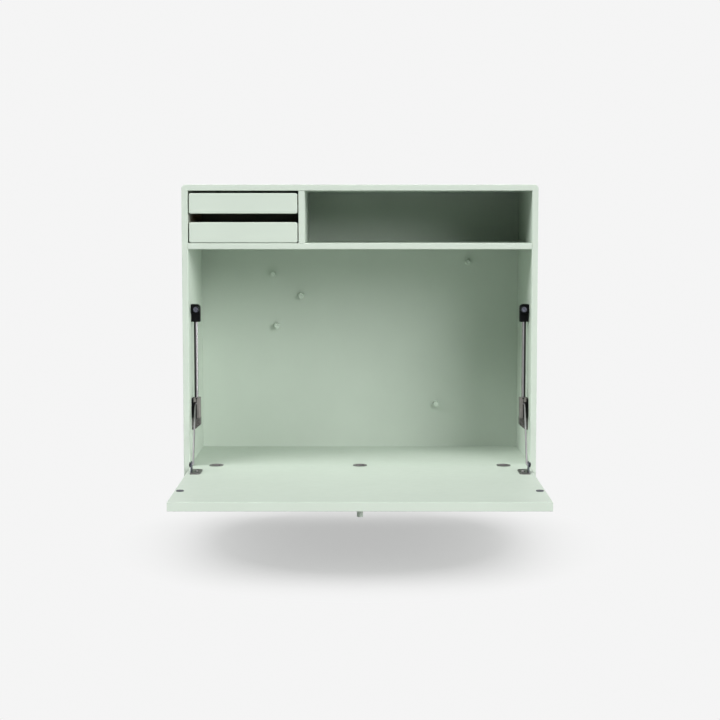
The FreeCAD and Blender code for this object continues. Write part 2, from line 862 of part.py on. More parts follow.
def make_stay_head(name, side):
    """The upper block: it holds the rod and carries the catch magnet on a boss."""

    def profile(offset, low):
        sketch = sketch_on(body, "XZ", offset)
        outline(
            sketch,
            [
                (inward(side, "0"), low),
                (inward(side, "stay_wide"), low),
                (inward(side, "stay_wide"), "head_high - head_round", f"{-side} * head_round"),
                (inward(side, "stay_wide - head_round"), "head_high"),
                (inward(side, "0"), "head_high"),
            ],
        )
        return sketch

    body = new_body("stay_head_" + name)
    pad(body, profile(f"{ROD_OUT} - head_back", "head_low"), "head_back + head_front")
    pad(body, profile(f"{ROD_OUT} + head_front", "head_low + head_step"), "head_cap_front - head_front")
    sketch = sketch_on(body, "XZ", f"{ROD_OUT} + head_cap_front")
    disc(sketch, inward(side, "catch_in"), "catch_level", "boss_radius")
    pad(body, sketch, f"{CATCH_FACE} - {ROD_OUT} - head_cap_front")
    sketch = sketch_on(body, "XZ", CATCH_FACE)
    disc(sketch, inward(side, "catch_in"), "catch_level", "magnet_radius + glue_play")
    pocket(body, sketch, "magnet_thick")
    drill_for_rod(body, side, "head_low", "head_bore", along=True)
    drill_for_screw(body, side, stay_screw_places()[0])


def make_catch_magnet(name, side):
    depth = f"{CATCH_FACE} - magnet_thick"
    body = new_body("catch_magnet_" + name, inward(side, "catch_in"), depth, "catch_level")
    sketch = sketch_on(body, "XZ")
    disc(sketch, "0", "0", "magnet_radius")
    pad(body, sketch, "magnet_thick")
    sketch = sketch_on(body, "XZ", "magnet_thick")
    disc(sketch, "0", "0", "magnet_dimple")
    pocket(body, sketch, "magnet_dimple_deep")


def make_stay_rod(name, side):
    low = "foot_high - foot_bore"
    length = f"head_low + head_bore - ({low})"
    rod_body = rod("stay_rod_" + name, "rod_radius", length, "Z", inward(side, "rod_in"), ROD_OUT, low)
    rod_body.Label = "stay_rod_" + name
    bind(rod_body, "Placement.Base.z", f"{UNDER} + {low}")
    pieces.append(rod_body)


def make_stay_foot(name, side):
    """The lower block, cut away below towards the room."""
    body = new_body("stay_foot_" + name)
    sketch = sketch_on(body, "XZ", f"{ROD_OUT} - foot_back")
    outline(
        sketch,
        [
            (inward(side, "0"), "foot_low"),
            (inward(side, "foot_toe"), "foot_low"),
            (inward(side, "stay_wide"), "foot_low + foot_heel"),
            (inward(side, "stay_wide"), "foot_high"),
            (inward(side, "0"), "foot_high"),
        ],
    )
    pad(body, sketch, "foot_back + foot_front")
    drill_for_rod(body, side, "foot_high", "foot_bore", along=False)
    drill_for_screw(body, side, stay_screw_places()[1])


def make_stay_screws():
    """Countersunk screws that stand along X, with their heads flush in the stays."""
    screw = pattern_body("stay_screw")
    sketch = sketch_on(screw, "XZ")
    outline(
        sketch,
        [
            ("0", "0 - stay_wide - stay_screw_grip"),
            ("stay_screw_radius", "0 - stay_wide - stay_screw_grip"),
            ("stay_screw_radius", "0 - stay_screw_sink"),
            ("stay_screw_head", "0"),
            ("0", "0"),
        ],
    )
    turn(screw, sketch)
    places = []
    angles = []
    for side in SIDES.values():
        for depth, level in stay_screw_places():
            places.append((inward(side, "stay_wide"), depth, level))
            angles.append(-90 * side)
    group("stay_screws", copies(screw, places, (0, 1, 0), angles))


def make_stay_slider(name, side):
    """The brake slider: a block with a channel for the rod and a slot for the wire link."""
    body = new_body("stay_slider_" + name)
    sketch = sketch_on(body, "XY", "foot_high + slider_gap")
    wall, room = inward(side, "slider_gap"), inward(side, "slider_wide")
    front, rear = f"0 - {ROD_OUT} - slider_front", f"slider_back - {ROD_OUT}"
    channel = "(rod_radius + channel_play)"
    near, far = inward(side, f"rod_in - {channel}"), inward(side, f"rod_in + {channel}")
    outline(
        sketch,
        [
            (wall, rear),
            (wall, front),
            (room, front),
            (room, rear),
            (far, rear),
            (far, f"0 - {ROD_OUT}", f"{side} * {channel}"),
            (inward(side, "rod_in"), f"0 - {ROD_OUT} - {channel}", f"{side} * {channel}"),
            (near, f"0 - {ROD_OUT}"),
            (near, rear),
        ],
    )
    pad(body, sketch, "slider_tall")
    corners = [value(wall), value(room)]
    ease(
        body,
        "Fillet",
        "slider_round",
        lambda edge: runs_along(edge, 2)
        and min(abs(edge.BoundBox.XMin - x) for x in corners) < 0.01,
    )
    sketch = sketch_on(body, "XZ", f"{ROD_OUT} + slider_front")
    rectangle(
        sketch,
        inward(side, "slot_near"),
        "foot_high",
        inward(side, "slot_far"),
        "slider_pin_level + slot_over",
    )
    pocket(body, sketch, "slot_deep")
    sketch = sketch_on(body, "YZ", inward(side, "slot_far"))
    disc(sketch, f"0 - {SLIDER_PIN}", "slider_pin_level", "wire_radius + wire_play")
    pocket(body, sketch, "slider_pin_hold", side == LEFT)


def bent_path(sketch, ends, corners, radius):
    """An open path of three straight runs, the outer two along X, joined by tangent arcs."""
    spots = [ends[0], *corners, ends[1]]
    points = [FreeCAD.Vector(value(x), value(y), 0) for x, y in spots]
    ways = [(points[n + 1] - points[n]).normalize() for n in range(3)]
    size = value(radius)
    starts, stops = [points[0]], []
    arcs = []
    for number in (1, 2):
        before, after = ways[number - 1], ways[number]
        trim = size * math.tan(before.getAngle(after) / 2)
        stops.append(points[number] - before * trim)
        starts.append(points[number] + after * trim)
        bend = math.copysign(size, before.cross(after).z)
        edge = sketch.addGeometry(arc_between(stops[-1], starts[-1], bend), False)
        arcs.append((edge, 1, 2) if bend > 0 else (edge, 2, 1))
        rule = sketch.addConstraint(Sketcher.Constraint("Radius", edge, size))
        bind(sketch, f"Constraints[{rule}]", radius)
    stops.append(points[3])
    runs = [sketch.addGeometry(Part.LineSegment(starts[n], stops[n]), False) for n in range(3)]
    for number, (edge, first, last) in enumerate(arcs):
        sketch.addConstraint(Sketcher.Constraint("Tangent", runs[number], 2, edge, first))
        sketch.addConstraint(Sketcher.Constraint("Tangent", edge, last, runs[number + 1], 1))
    for run in (runs[0], runs[2]):
        sketch.addConstraint(Sketcher.Constraint("Horizontal", run))
    fix_point(sketch, runs[0], 1, *ends[0])
    fix_point(sketch, runs[2], 2, *ends[1])
    for number, (x, _) in enumerate(corners):
        mark = sketch.addGeometry(Part.Point(points[number + 1]), True)
        sketch.addConstraint(Sketcher.Constraint("PointOnObject", mark, 1, runs[number]))
        sketch.addConstraint(Sketcher.Constraint("PointOnObject", mark, 1, runs[number + 1]))
        rule = sketch.addConstraint(
            Sketcher.Constraint("DistanceX", -1, 1, mark, 1, points[number + 1].x)
        )
        bind(sketch, f"Constraints[{rule}]", x)


def make_stay_link(name, side):
    """A wire with a hooked end in the bracket's leg and another in the slider."""
    body = new_body("stay_link_" + name, "0", BRACKET_PIN, BRACKET_PIN_LEVEL)
    rise = math.degrees(math.atan2(value(LINK_RISE), value(LINK_RUN)))
    body.Placement.Rotation = FreeCAD.Rotation(FreeCAD.Vector(1, 0, 0), rise)
    path = sketch_on(body, "XY")
    bent_path(
        path,
        [(inward(side, "link_low_end"), "0"), (inward(side, "link_high_end"), LINK_LONG)],
        [(inward(side, LINK_LOW_IN), "0"), (inward(side, "link_high_in"), LINK_LONG)],
        "wire_bend",
    )
    section = sketch_on(body, "YZ", inward(side, "link_low_end"))
    disc(section, "0", "0", "wire_radius")
    document.recompute()
    pipe = body.newObject("PartDesign::AdditivePipe", body.Label + "_wire")
    pipe.Profile = section
    pipe.Spine = path
    document.recompute()


def make_link_clip(name, side):
    """The black clip that keeps the wire's lower end in the bracket."""
    body = new_body("link_clip_" + name, "0", BRACKET_PIN, BRACKET_PIN_LEVEL)
    sketch = sketch_on(body, "YZ", inward(side, "bracket_in - clip_gap"))
    disc(sketch, "0", "0", "clip_radius")
    disc(sketch, "0", "0", "wire_radius + glue_play")
    pad(body, sketch, "clip_thick", against=side == LEFT)
    face = value(inward(side, "bracket_in - clip_gap - clip_thick"))
    rim = value("clip_radius")
    ease(
        body,
        "Chamfer",
        "clip_edge",
        lambda edge: lies_at(edge, 0, face) and edge.BoundBox.YLength > rim,
    )


def bracket_screw_places():
    """X and depth of the two bracket screws."""
    depth = f"({SEAM} + bracket_pin_out + (bracket_front - bracket_back) / 2)"
    return [(inward(side, "bracket_in + bracket_screw_in"), depth) for side in SIDES.values()]


def make_flap_bracket(name, side):
    """An angle of sheet steel: a foot on the flap and a leg for the wire link."""
    body = new_body("flap_bracket_" + name)
    sketch = sketch_on(body, "XY", FLOOR_TOP)
    edge, room = inward(side, "bracket_in"), inward(side, "bracket_in + bracket_wide")
    turned = inward(side, "bracket_in + bracket_wide - bracket_corner")
    front, rear = f"(0 - {BRACKET_PIN} - bracket_front)", f"(bracket_back - {BRACKET_PIN})"
    outline(
        sketch,
        [
            (edge, front),
            (turned, front, f"{-side} * bracket_corner"),
            (room, f"{front} + bracket_corner"),
            (room, f"{rear} - bracket_corner", f"{-side} * bracket_corner"),
            (turned, rear),
            (edge, rear),
        ],
    )
    pad(body, sketch, "bracket_sheet")
    sketch = sketch_on(body, "YZ", edge)
    outline(
        sketch,
        [
            (f"0 - {BRACKET_PIN} - leg_foot", FLOOR_TOP),
            (f"leg_foot - {BRACKET_PIN}", FLOOR_TOP),
            (f"leg_foot - {BRACKET_PIN}", f"{FLOOR_TOP} + leg_step"),
            (f"leg_round - {BRACKET_PIN}", BRACKET_PIN_LEVEL, "leg_round"),
            (f"0 - {BRACKET_PIN}", f"{BRACKET_PIN_LEVEL} + leg_round", "leg_round"),
            (f"0 - {BRACKET_PIN} - leg_round", BRACKET_PIN_LEVEL),
            (f"0 - {BRACKET_PIN} - leg_foot", f"{FLOOR_TOP} + leg_step"),
        ],
    )
    pad(body, sketch, "bracket_sheet", against=side == RIGHT)
    bottom, face = value(FLOOR_TOP), value(edge)
    ease(
        body,
        "Fillet",
        "bracket_bend",
        lambda item: lies_at(item, 2, bottom) and lies_at(item, 0, face),
    )
    sketch = sketch_on(body, "YZ", edge)
    disc(sketch, f"0 - {BRACKET_PIN}", BRACKET_PIN_LEVEL, "wire_radius + wire_play")
    pocket(body, sketch, "bracket_sheet", side == LEFT)
    sketch = sketch_on(body, "XY", FLOOR_TOP)
    x, depth = bracket_screw_places()[0 if side == LEFT else 1]
    disc(sketch, x, f"0 - {depth}", "bracket_screw_radius + bracket_screw_play")
    pocket(body, sketch, "bracket_sheet", along=True)


def make_bracket_screws():
    screw = pattern_body("bracket_screw")
    sketch = sketch_on(screw, "XZ")
    outline(
        sketch,
        [
            ("0", "0 - bracket_screw_long"),
            ("bracket_screw_radius", "0 - bracket_screw_long"),
            ("bracket_screw_radius", "0"),
            ("bracket_screw_head", "0"),
            ("bracket_screw_head", "bracket_screw_cap * 0.4"),
            ("bracket_screw_head * 0.6", "bracket_screw_cap"),
            ("0", "bracket_screw_cap"),
        ],
    )
    turn(screw, sketch)
    places = [(x, depth, f"{FLOOR_TOP} + bracket_sheet") for x, depth in bracket_screw_places()]
    group("bracket_screws", copies(screw, places, (0, 0, 1), 0))


# ---------------------------------------------------------------- drawers


def box_left(inset):
    """X of a point that lies this far inside a drawer's left outer face."""
    return f"(0 - {INSIDE} + drawer_side_gap + {inset})"


def box_right(inset):
    return f"({DIVIDER_LEFT} - drawer_side_gap - ({inset}))"


def make_drawer(name, level):
    """A drawer of five boards; level is the bottom of its front."""
    groove_low = f"{level} + box_up + box_bottom_up"
    groove_high = f"{groove_low} + box_bottom + box_play"
    joint = "depth - front_thick"

    front = new_body(name + "_drawer_front")
    sketch = sketch_on(front, "XZ", joint)
    left, right = box_left("0"), box_right("0")
    left_in, right_in = box_left("front_corner"), box_right("front_corner")
    low, high = level, f"{level} + {FRONT_TALL}"
    outline(
        sketch,
        [
            (left_in, low),
            (right_in, low, "front_corner"),
            (right, f"{low} + front_corner"),
            (right, f"{high} - front_corner", "front_corner"),
            (right_in, high),
            (left_in, high, "front_corner"),
            (left, f"{high} - front_corner"),
            (left, f"{low} + front_corner", "front_corner"),
        ],
    )
    pad(front, sketch, "front_thick")
    sketch = sketch_on(front, "XZ", joint)
    rectangle(
        sketch,
        box_left("box_side - box_groove"),
        groove_low,
        box_right("box_side - box_groove"),
        groove_high,
    )
    pocket(front, sketch, "box_groove", along=True)
    face = -value("depth")
    ease(front, "Fillet", "front_edge", lambda edge: lies_at(edge, 1, face))

    for hand, place in (("left", box_left), ("right", box_right)):
        side = new_body(f"{name}_drawer_side_{hand}")
        sketch = sketch_on(side, "XZ", BOX_BACK)
        outer, inner = place("0"), place("box_side")
        rectangle(sketch, outer, f"{level} + box_up", inner, f"{level} + box_up + box_tall")
        pad(side, sketch, "box_long")
        sketch = sketch_on(side, "XZ", BOX_BACK)
        reach = place("runner_thick - drawer_side_gap + runner_play")
        half = "(runner_tall / 2 + runner_play)"
        centre = f"{level} + box_up + runner_up"
        rectangle(sketch, outer, f"{centre} - {half}", reach, f"{centre} + {half}")
        pocket(side, sketch, "box_long", along=True)
        sketch = sketch_on(side, "XZ", BOX_BACK)
        rectangle(sketch, place("box_side - box_groove"), groove_low, inner, groove_high)
        pocket(side, sketch, "box_long", along=True)

    back = new_body(name + "_drawer_back")
    sketch = sketch_on(back, "XZ", BOX_BACK)
    top = f"{level} + box_up + box_tall"
    rectangle(sketch, box_left("box_side"), groove_high, box_right("box_side"), top)
    pad(back, sketch, "box_side")

    bottom = new_body(name + "_drawer_bottom")
    sketch = sketch_on(bottom, "XY", f"{groove_low} + box_play / 2")
    rectangle(
        sketch,
        box_left("box_side - box_groove + box_play"),
        f"0 - ({joint} + box_groove - box_play)",
        box_right("box_side - box_groove + box_play"),
        f"0 - {BOX_BACK}",
    )
    pad(bottom, sketch, "box_bottom")


def make_runner(label, wall, middle):
    """A hardwood strip that a drawer's grooved side rides on."""
    body = new_body(label)
    sketch = sketch_on(body, "XZ", f"{BACK_FACE} + runner_back")
    on_divider = wall == DIVIDER_LEFT
    proud = f"{wall} - runner_thick" if on_divider else f"{wall} + runner_thick"
    rectangle(sketch, wall, f"{middle} - runner_tall / 2", proud, f"{middle} + runner_tall / 2")
    pad(body, sketch, f"depth - runner_front - {BACK_FACE} - runner_back")
    tip, face = -value("depth - runner_front"), value(proud)
    ease(
        body,
        "Chamfer",
        "runner_edge",
        lambda edge: lies_at(edge, 1, tip) and lies_at(edge, 0, face),
    )


def make_drawers():
    lower = f"({SHELF_TOP} + drawer_bottom_gap)"
    upper = f"({SHELF_TOP} + drawer_bottom_gap + {FRONT_TALL} + finger_gap)"
    for name, level in (("upper", upper), ("lower", lower)):
        make_drawer(name, level)
        middle = f"({level} + box_up + runner_up)"
        make_runner(f"runner_{name}_left", f"(0 - {INSIDE})", middle)
        make_runner(f"runner_{name}_right", DIVIDER_LEFT, middle)


# ---------------------------------------------------------------- wall hangers


def make_wall_hanger(name, side):
    """A steel keyhole plate let in flush across a rear corner of the carcass."""
    body = new_body("wall_hanger_" + name)
    outer, inner, top, foot = hanger_corners(side)
    sketch = sketch_on(body, "XZ")
    rectangle(sketch, outer, foot, inner, top)
    pad(body, sketch, "hanger_thick")
    ease(body, "Fillet", "hanger_corner", lambda edge: runs_along(edge, 1))
    centre = f"({side} * ({HALF} - hanger_hole_in))"
    hole = "(height - hanger_drop)"
    slot_end = f"({hole} + hanger_slot_up)"
    sketch = sketch_on(body, "XZ")
    disc(sketch, centre, hole, "hanger_hole")
    pocket(body, sketch, "hanger_thick", along=True)
    sketch = sketch_on(body, "XZ")
    outline(
        sketch,
        [
            (f"{centre} - hanger_slot", hole),
            (f"{centre} + hanger_slot", hole),
            (f"{centre} + hanger_slot", slot_end, "hanger_slot"),
            (centre, f"{slot_end} + hanger_slot", "hanger_slot"),
            (f"{centre} - hanger_slot", slot_end),
        ],
    )
    pocket(body, sketch, "hanger_thick", along=True)
    for radius, deep in (("radius", "hanger_thick"), ("head", "hanger_screw_sink")):
        sketch = sketch_on(body, "XZ")
        for x, level in hanger_screw_places(side):
            disc(sketch, x, level, f"hanger_screw_{radius} + glue_play")
        pocket(body, sketch, deep, along=True)


def make_hanger_screws():
    """Countersunk screws whose heads lie flush with the wall plane."""
    screw = pattern_body("hanger_screw")
    sketch = sketch_on(screw, "XZ")
    outline(
        sketch,
        [
            ("0", "0"),
            ("hanger_screw_head", "0"),
            ("hanger_screw_radius", "hanger_screw_sink"),
            ("hanger_screw_radius", "hanger_screw_long"),
            ("0", "hanger_screw_long"),
        ],
    )
    turn(screw, sketch)
    places = [
        (x, "0", level) for side in SIDES.values() for x, level in hanger_screw_places(side)
    ]
    group("hanger_screws", copies(screw, places, (1, 0, 0), 90))


# ---------------------------------------------------------------- the whole desk


def check(item):
    """Stop if an object failed to recompute."""
    if "Invalid" in item.State or "Error" in item.State:
        raise RuntimeError(f"{item.Label} failed: {item.State}")


def write_pieces():
    document.recompute()
    for item in document.Objects:
        check(item)
    os.makedirs("parts", exist_ok=True)
    for piece in pieces:
        shape = piece.Shape
        if shape.isNull() or not shape.isValid() or not shape.Solids:
            raise RuntimeError(f"{piece.Label} has no valid solid")
    for piece in pieces:
        piece.Shape.exportStep(f"parts/{piece.Label}.step")


fill_sheet()
for name, side in SIDES.items():
    make_side_panel(name, side)
make_level_panel("top_panel", top=True)
make_level_panel("bottom_panel", top=False)
make_back_panel()
make_shelf()
make_divider()
make_dowels()
make_hinge_board()
make_pegs()
for name, x in HINGES.items():
    make_hinge_half(name, x, on_flap=False)
    make_hinge_half(name, x, on_flap=True)
make_hinge_pins()
make_flap_board()
make_pull_knob()
for name, side in SIDES.items():
    make_strike_disc(name, side)
    make_stay_head(name, side)
    make_catch_magnet(name, side)
    make_stay_rod(name, side)
    make_stay_foot(name, side)
    make_stay_slider(name, side)
    make_stay_link(name, side)
    make_link_clip(name, side)
    make_flap_bracket(name, side)
make_stay_screws()
make_bracket_screws()
make_drawers()
for name, side in SIDES.items():
    make_wall_hanger(name, side)
make_hanger_screws()
write_pieces()
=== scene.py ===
import json
import math

import bmesh
import bpy
from mathutils import Euler, Matrix, Vector


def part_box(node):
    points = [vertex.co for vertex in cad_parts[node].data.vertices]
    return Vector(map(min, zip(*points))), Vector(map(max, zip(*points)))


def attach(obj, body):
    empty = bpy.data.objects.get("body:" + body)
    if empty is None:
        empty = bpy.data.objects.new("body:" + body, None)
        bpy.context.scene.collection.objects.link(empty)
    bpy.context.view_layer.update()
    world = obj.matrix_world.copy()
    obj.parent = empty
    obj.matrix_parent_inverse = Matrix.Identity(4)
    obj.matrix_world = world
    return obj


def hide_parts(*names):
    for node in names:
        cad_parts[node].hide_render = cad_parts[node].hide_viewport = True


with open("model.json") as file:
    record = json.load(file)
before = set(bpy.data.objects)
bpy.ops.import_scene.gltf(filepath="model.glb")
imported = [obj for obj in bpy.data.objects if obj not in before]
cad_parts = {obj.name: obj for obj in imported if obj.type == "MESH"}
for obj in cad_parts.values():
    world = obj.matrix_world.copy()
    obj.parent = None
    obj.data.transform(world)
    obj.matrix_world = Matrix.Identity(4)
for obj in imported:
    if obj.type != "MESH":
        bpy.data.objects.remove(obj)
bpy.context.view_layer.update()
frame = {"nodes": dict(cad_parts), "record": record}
nodes = frame["nodes"]
bodies = frame["record"]["behaviour"]["bodies"]

MM = 0.001
SIDES = (("left", -1), ("right", 1))

# Levels and depths of the desk, in millimetres, in the frame of the solids
FRONT = -300.0
INSIDE = 336.0
FLOOR_TOP = -522.0
FLAP_UNDER = -538.0
SEAM = -284.0
SEAM_GAP = 0.6
BACK_FACE = -16.0

# Points nearer than MERGE become one, and points nearer a plane than CLOSE lie in it
MERGE = 0.0005
CLOSE = 0.01
# How far a cutting shape runs out past the surface that it cuts
OVER = 1.0

BACKGROUND = (0.911, 0.911, 0.911, 1.0)
WHITE = (1.0, 1.0, 1.0, 1.0)


# ---------------------------------------------------------------- finishes


def finish_of(name, colour, roughness, metallic=0.0, specular=0.5):
    """A new material with its shader node, to which each finish adds its own detail."""
    material = bpy.data.materials.new(name)
    material.use_nodes = True
    shader = material.node_tree.nodes["Principled BSDF"]
    shader.inputs["Base Color"].default_value = (*colour, 1.0)
    shader.inputs["Roughness"].default_value = roughness
    shader.inputs["Metallic"].default_value = metallic
    shader.inputs["Specular IOR Level"].default_value = specular
    return material, material.node_tree, shader


def node(tree, kind, **settings):
    """A shader node with its inputs and properties set."""
    made = tree.nodes.new(kind)
    for key, setting in settings.items():
        if key in made.inputs:
            made.inputs[key].default_value = setting
        else:
            setattr(made, key, setting)
    return made


def stretched(tree, scale=(1.0, 1.0, 1.0)):
    """Object coordinates, stretched for patterns that run one way."""
    place = node(tree, "ShaderNodeTexCoord")
    mapping = node(tree, "ShaderNodeMapping")
    mapping.inputs["Scale"].default_value = scale
    tree.links.new(place.outputs["Object"], mapping.inputs["Vector"])
    return mapping.outputs["Vector"]


def grain(tree, vector, scale, detail=3.0, rough=0.55):
    """A soft random pattern. A larger scale makes it finer."""
    noise = node(tree, "ShaderNodeTexNoise", Scale=scale, Detail=detail, Roughness=rough)
    tree.links.new(vector, noise.inputs["Vector"])
    return noise.outputs["Fac"]


def spread(tree, source, low, high, start=0.35, stop=0.65):
    """A value mapped to a range, for roughness and masks."""
    scale = node(tree, "ShaderNodeMapRange")
    tree.links.new(source, scale.inputs["Value"])
    for key, setting in (("From Min", start), ("From Max", stop), ("To Min", low), ("To Max", high)):
        scale.inputs[key].default_value = setting
    return scale.outputs["Result"]


def tint(tree, source, low, high, start=0.35, stop=0.65):
    """A value mapped to a colour between two."""
    ramp = node(tree, "ShaderNodeValToRGB")
    tree.links.new(source, ramp.inputs["Fac"])
    first, last = ramp.color_ramp.elements
    first.position, last.position = start, stop
    first.color, last.color = (*low, 1.0), (*high, 1.0)
    return ramp.outputs["Color"]


def bump(tree, shader, height, distance, strength):
    """Fine relief on a shader. The distance is in metres."""
    relief = node(tree, "ShaderNodeBump", Strength=strength, Distance=distance)
    tree.links.new(height, relief.inputs["Height"])
    tree.links.new(relief.outputs["Normal"], shader.inputs["Normal"])


def shades(colour, amount):
    """A colour a little darker and a little lighter."""
    return [tuple(min(1.0, part * (1 + change)) for part in colour) for change in (-amount, amount)]


def lacquer(name, colour):
    """A satin lacquer, faintly clouded, with a very fine texture."""
    material, tree, shader = finish_of(name, colour, 0.45, specular=0.12)
    place = stretched(tree)
    cloud = tint(tree, grain(tree, place, 9.0), *shades(colour, 0.012))
    tree.links.new(cloud, shader.inputs["Base Color"])
    gloss = spread(tree, grain(tree, place, 60.0), low=0.41, high=0.49)
    tree.links.new(gloss, shader.inputs["Roughness"])
    bump(tree, shader, grain(tree, place, 700.0, detail=2.0), distance=0.00005, strength=0.2)
    return material


def birch():
    """Varnished birch with its figure along the desk's depth."""
    colour = (0.600, 0.440, 0.280)
    material, tree, shader = finish_of("birch", colour, 0.5)
    figure = grain(tree, stretched(tree, scale=(60.0, 4.0, 60.0)), 1.6, detail=6.0)
    tree.links.new(tint(tree, figure, *shades(colour, 0.14)), shader.inputs["Base Color"])
    tree.links.new(spread(tree, figure, low=0.44, high=0.58), shader.inputs["Roughness"])
    bump(tree, shader, figure, distance=0.0002, strength=0.3)
    return material


def metal(name, colour, low, high, metallic=1.0, scratch=400.0, depth=0.00003, patch=0.08, patches=40.0):
    """A metal between two roughnesses, with fine scratches and patches that are a little off in colour."""
    material, tree, shader = finish_of(name, colour, low, metallic)
    place = stretched(tree)
    fine = grain(tree, place, scratch, detail=4.0)
    worn = tint(tree, grain(tree, place, patches), *shades(colour, patch))
    tree.links.new(worn, shader.inputs["Base Color"])
    tree.links.new(spread(tree, fine, low, high), shader.inputs["Roughness"])
    bump(tree, shader, fine, depth, strength=0.5)
    return material


def plastic(name, colour, low=0.42, high=0.56, specular=0.5):
    """A moulded plastic between two roughnesses, with a fine matt grain."""
    material, tree, shader = finish_of(name, colour, low, specular=specular)
    place = stretched(tree)
    fine = grain(tree, place, 1500.0, detail=2.0)
    worn = tint(tree, grain(tree, place, 80.0), *shades(colour, 0.2))
    tree.links.new(worn, shader.inputs["Base Color"])
    tree.links.new(spread(tree, fine, low, high), shader.inputs["Roughness"])
    bump(tree, shader, fine, distance=0.00005, strength=0.4)
    return material


FINISHES = {
    "lacquer": lacquer("mint_lacquer", (0.586, 0.662, 0.583)),
    "birch": birch(),
    "hinge_steel": metal("hinge_steel", (0.170, 0.160, 0.163), 0.34, 0.48, patch=0.15, patches=150.0),
    "chrome": metal("chrome", (0.30, 0.292, 0.302), 0.18, 0.26, depth=0.00001),
    "bright_wire": metal("bright_wire", (0.31, 0.302, 0.312), 0.30, 0.40, metallic=0.95),
    "black_plastic": plastic("black_plastic", (0.005, 0.005, 0.006), specular=0.08),
    # dark_cast is the cast grey made darker: painted shade for the stay feet, which stand low in shade
    "dark_cast": metal("dark_cast", (0.105, 0.098, 0.095), 0.42, 0.62, metallic=0.6, scratch=500.0,
                       depth=0.00025, patch=0.5, patches=350.0),
    "cast_grey": metal("cast_grey", (0.215, 0.200, 0.192), 0.40, 0.55, metallic=0.6, depth=0.0001,
                       patch=0.12, patches=120.0),
    "magnet": metal("magnet", (0.115, 0.120, 0.150), 0.25, 0.4, metallic=0.9, patch=0.35, patches=260.0),
    "zinc_steel": metal("zinc_steel", (0.235, 0.230, 0.228), 0.34, 0.48),
}
# A lighter copy of the mint lacquer for the pegs and the knob: painted light, for the light that their ends
# catch
LIGHTER_LACQUER_PAINTED_LIGHT = lacquer("lighter_lacquer_painted_light", (0.650, 0.735, 0.647))
# Dark matt plastic: the rod's liner, and painted shade on the walls of each slider's wire slot
LINER_AND_SLOT_SHADE = plastic("dark_liner_and_slot_shade", (0.016, 0.016, 0.017), 0.3, 0.4, specular=0.25)
# Darker steel for the strike discs and the brackets' legs; on the legs it is painted shade, as each leg
# stands edge-on in shade
DARK_STEEL_AND_PAINTED_SHADE = metal("dark_steel_and_painted_shade", (0.066, 0.071, 0.086), 0.34, 0.5, metallic=0.85, patch=0.15,
                   patches=150.0)

slot_of = {row["node"]: row["material_slot"] for row in frame["record"]["subparts"]}
body_of = {name: body for body, names in bodies.items() for name in names}
for name, item in nodes.items():
    item.data.materials.clear()
    item.data.materials.append(FINISHES[slot_of[name]])


# ---------------------------------------------------------------- shapes, in millimetres


def inward(side, distance):
    """X of a point that lies this far from a side panel's inner face, into the desk."""
    return side * (INSIDE - distance)


def block(low, high):
    """A box between two opposite corners."""
    mesh = bmesh.new()
    bmesh.ops.create_cube(mesh, size=1.0)
    corners = [sorted(pair) for pair in zip(low, high)]
    bmesh.ops.scale(mesh, vec=[far - near for near, far in corners], verts=mesh.verts)
    bmesh.ops.translate(mesh, vec=[(near + far) / 2 for near, far in corners], verts=mesh.verts)
    return mesh


# For each axis, which coordinates are the two on a plane across it and the one along it
AXES = {"X": (1, 2, 0), "Y": (0, 2, 1), "Z": (0, 1, 2)}


def on_plane(axis, first, second, along):
    """A point from two coordinates on a plane and one along the plane's axis."""
    spot = [0.0, 0.0, 0.0]
    for index, number in zip(AXES[axis], (first, second, along)):
        spot[index] = number
    return Vector(spot)


def prism(corners, axis, start, stop, segments=6):
    """An outline pushed along an axis. A corner is (a, b), or (a, b, r) where it is rounded."""
    mesh = bmesh.new()
    points = [mesh.verts.new(on_plane(axis, corner[0], corner[1], start)) for corner in corners]
    mesh.faces.new(points)
    for point, corner in zip(points, corners):
        if len(corner) > 2:
            bmesh.ops.bevel(mesh, geom=[point], offset=corner[2], segments=segments, profile=0.5,
                            affect="VERTICES", material=-1)
    made = bmesh.ops.extrude_face_region(mesh, geom=mesh.faces[:])
    moved = [item for item in made["geom"] if isinstance(item, bmesh.types.BMVert)]
    bmesh.ops.translate(mesh, vec=on_plane(axis, 0, 0, stop - start), verts=moved)
    bmesh.ops.recalc_face_normals(mesh, faces=mesh.faces)
    return mesh


def lathe(profile, axis, centre, steps):
    """A profile of (radius, place along the axis) pairs turned round an axis through a point."""
    mesh = bmesh.new()
    origin = Vector(centre)
    along = on_plane(axis, 0, 0, 1)
    out = on_plane(axis, 1, 0, 0)
    points = [mesh.verts.new(origin + out * radius + along * place) for radius, place in profile]
    edges = [mesh.edges.new(pair) for pair in zip(points, points[1:])]
    bmesh.ops.spin(mesh, geom=points + edges, cent=origin, axis=along, angle=math.tau, steps=steps,
                   use_merge=True)
    bmesh.ops.remove_doubles(mesh, verts=mesh.verts, dist=MERGE)
    bmesh.ops.recalc_face_normals(mesh, faces=mesh.faces)
    return mesh


def cylinder(radius, start, stop, axis, centre, steps):
    """A plain round bar or bore between two places along an axis."""
    return lathe([(0.0, start), (radius, start), (radius, stop), (0.0, stop)], axis, centre, steps)


def sideways(profile, side, distance, depth, level, steps):
    """A profile turned round an axis along X. It starts inward of a side panel and runs towards it."""
    mirrored = [(radius, side * place) for radius, place in profile]
    return lathe(mirrored, "X", (inward(side, distance), depth, level), steps)


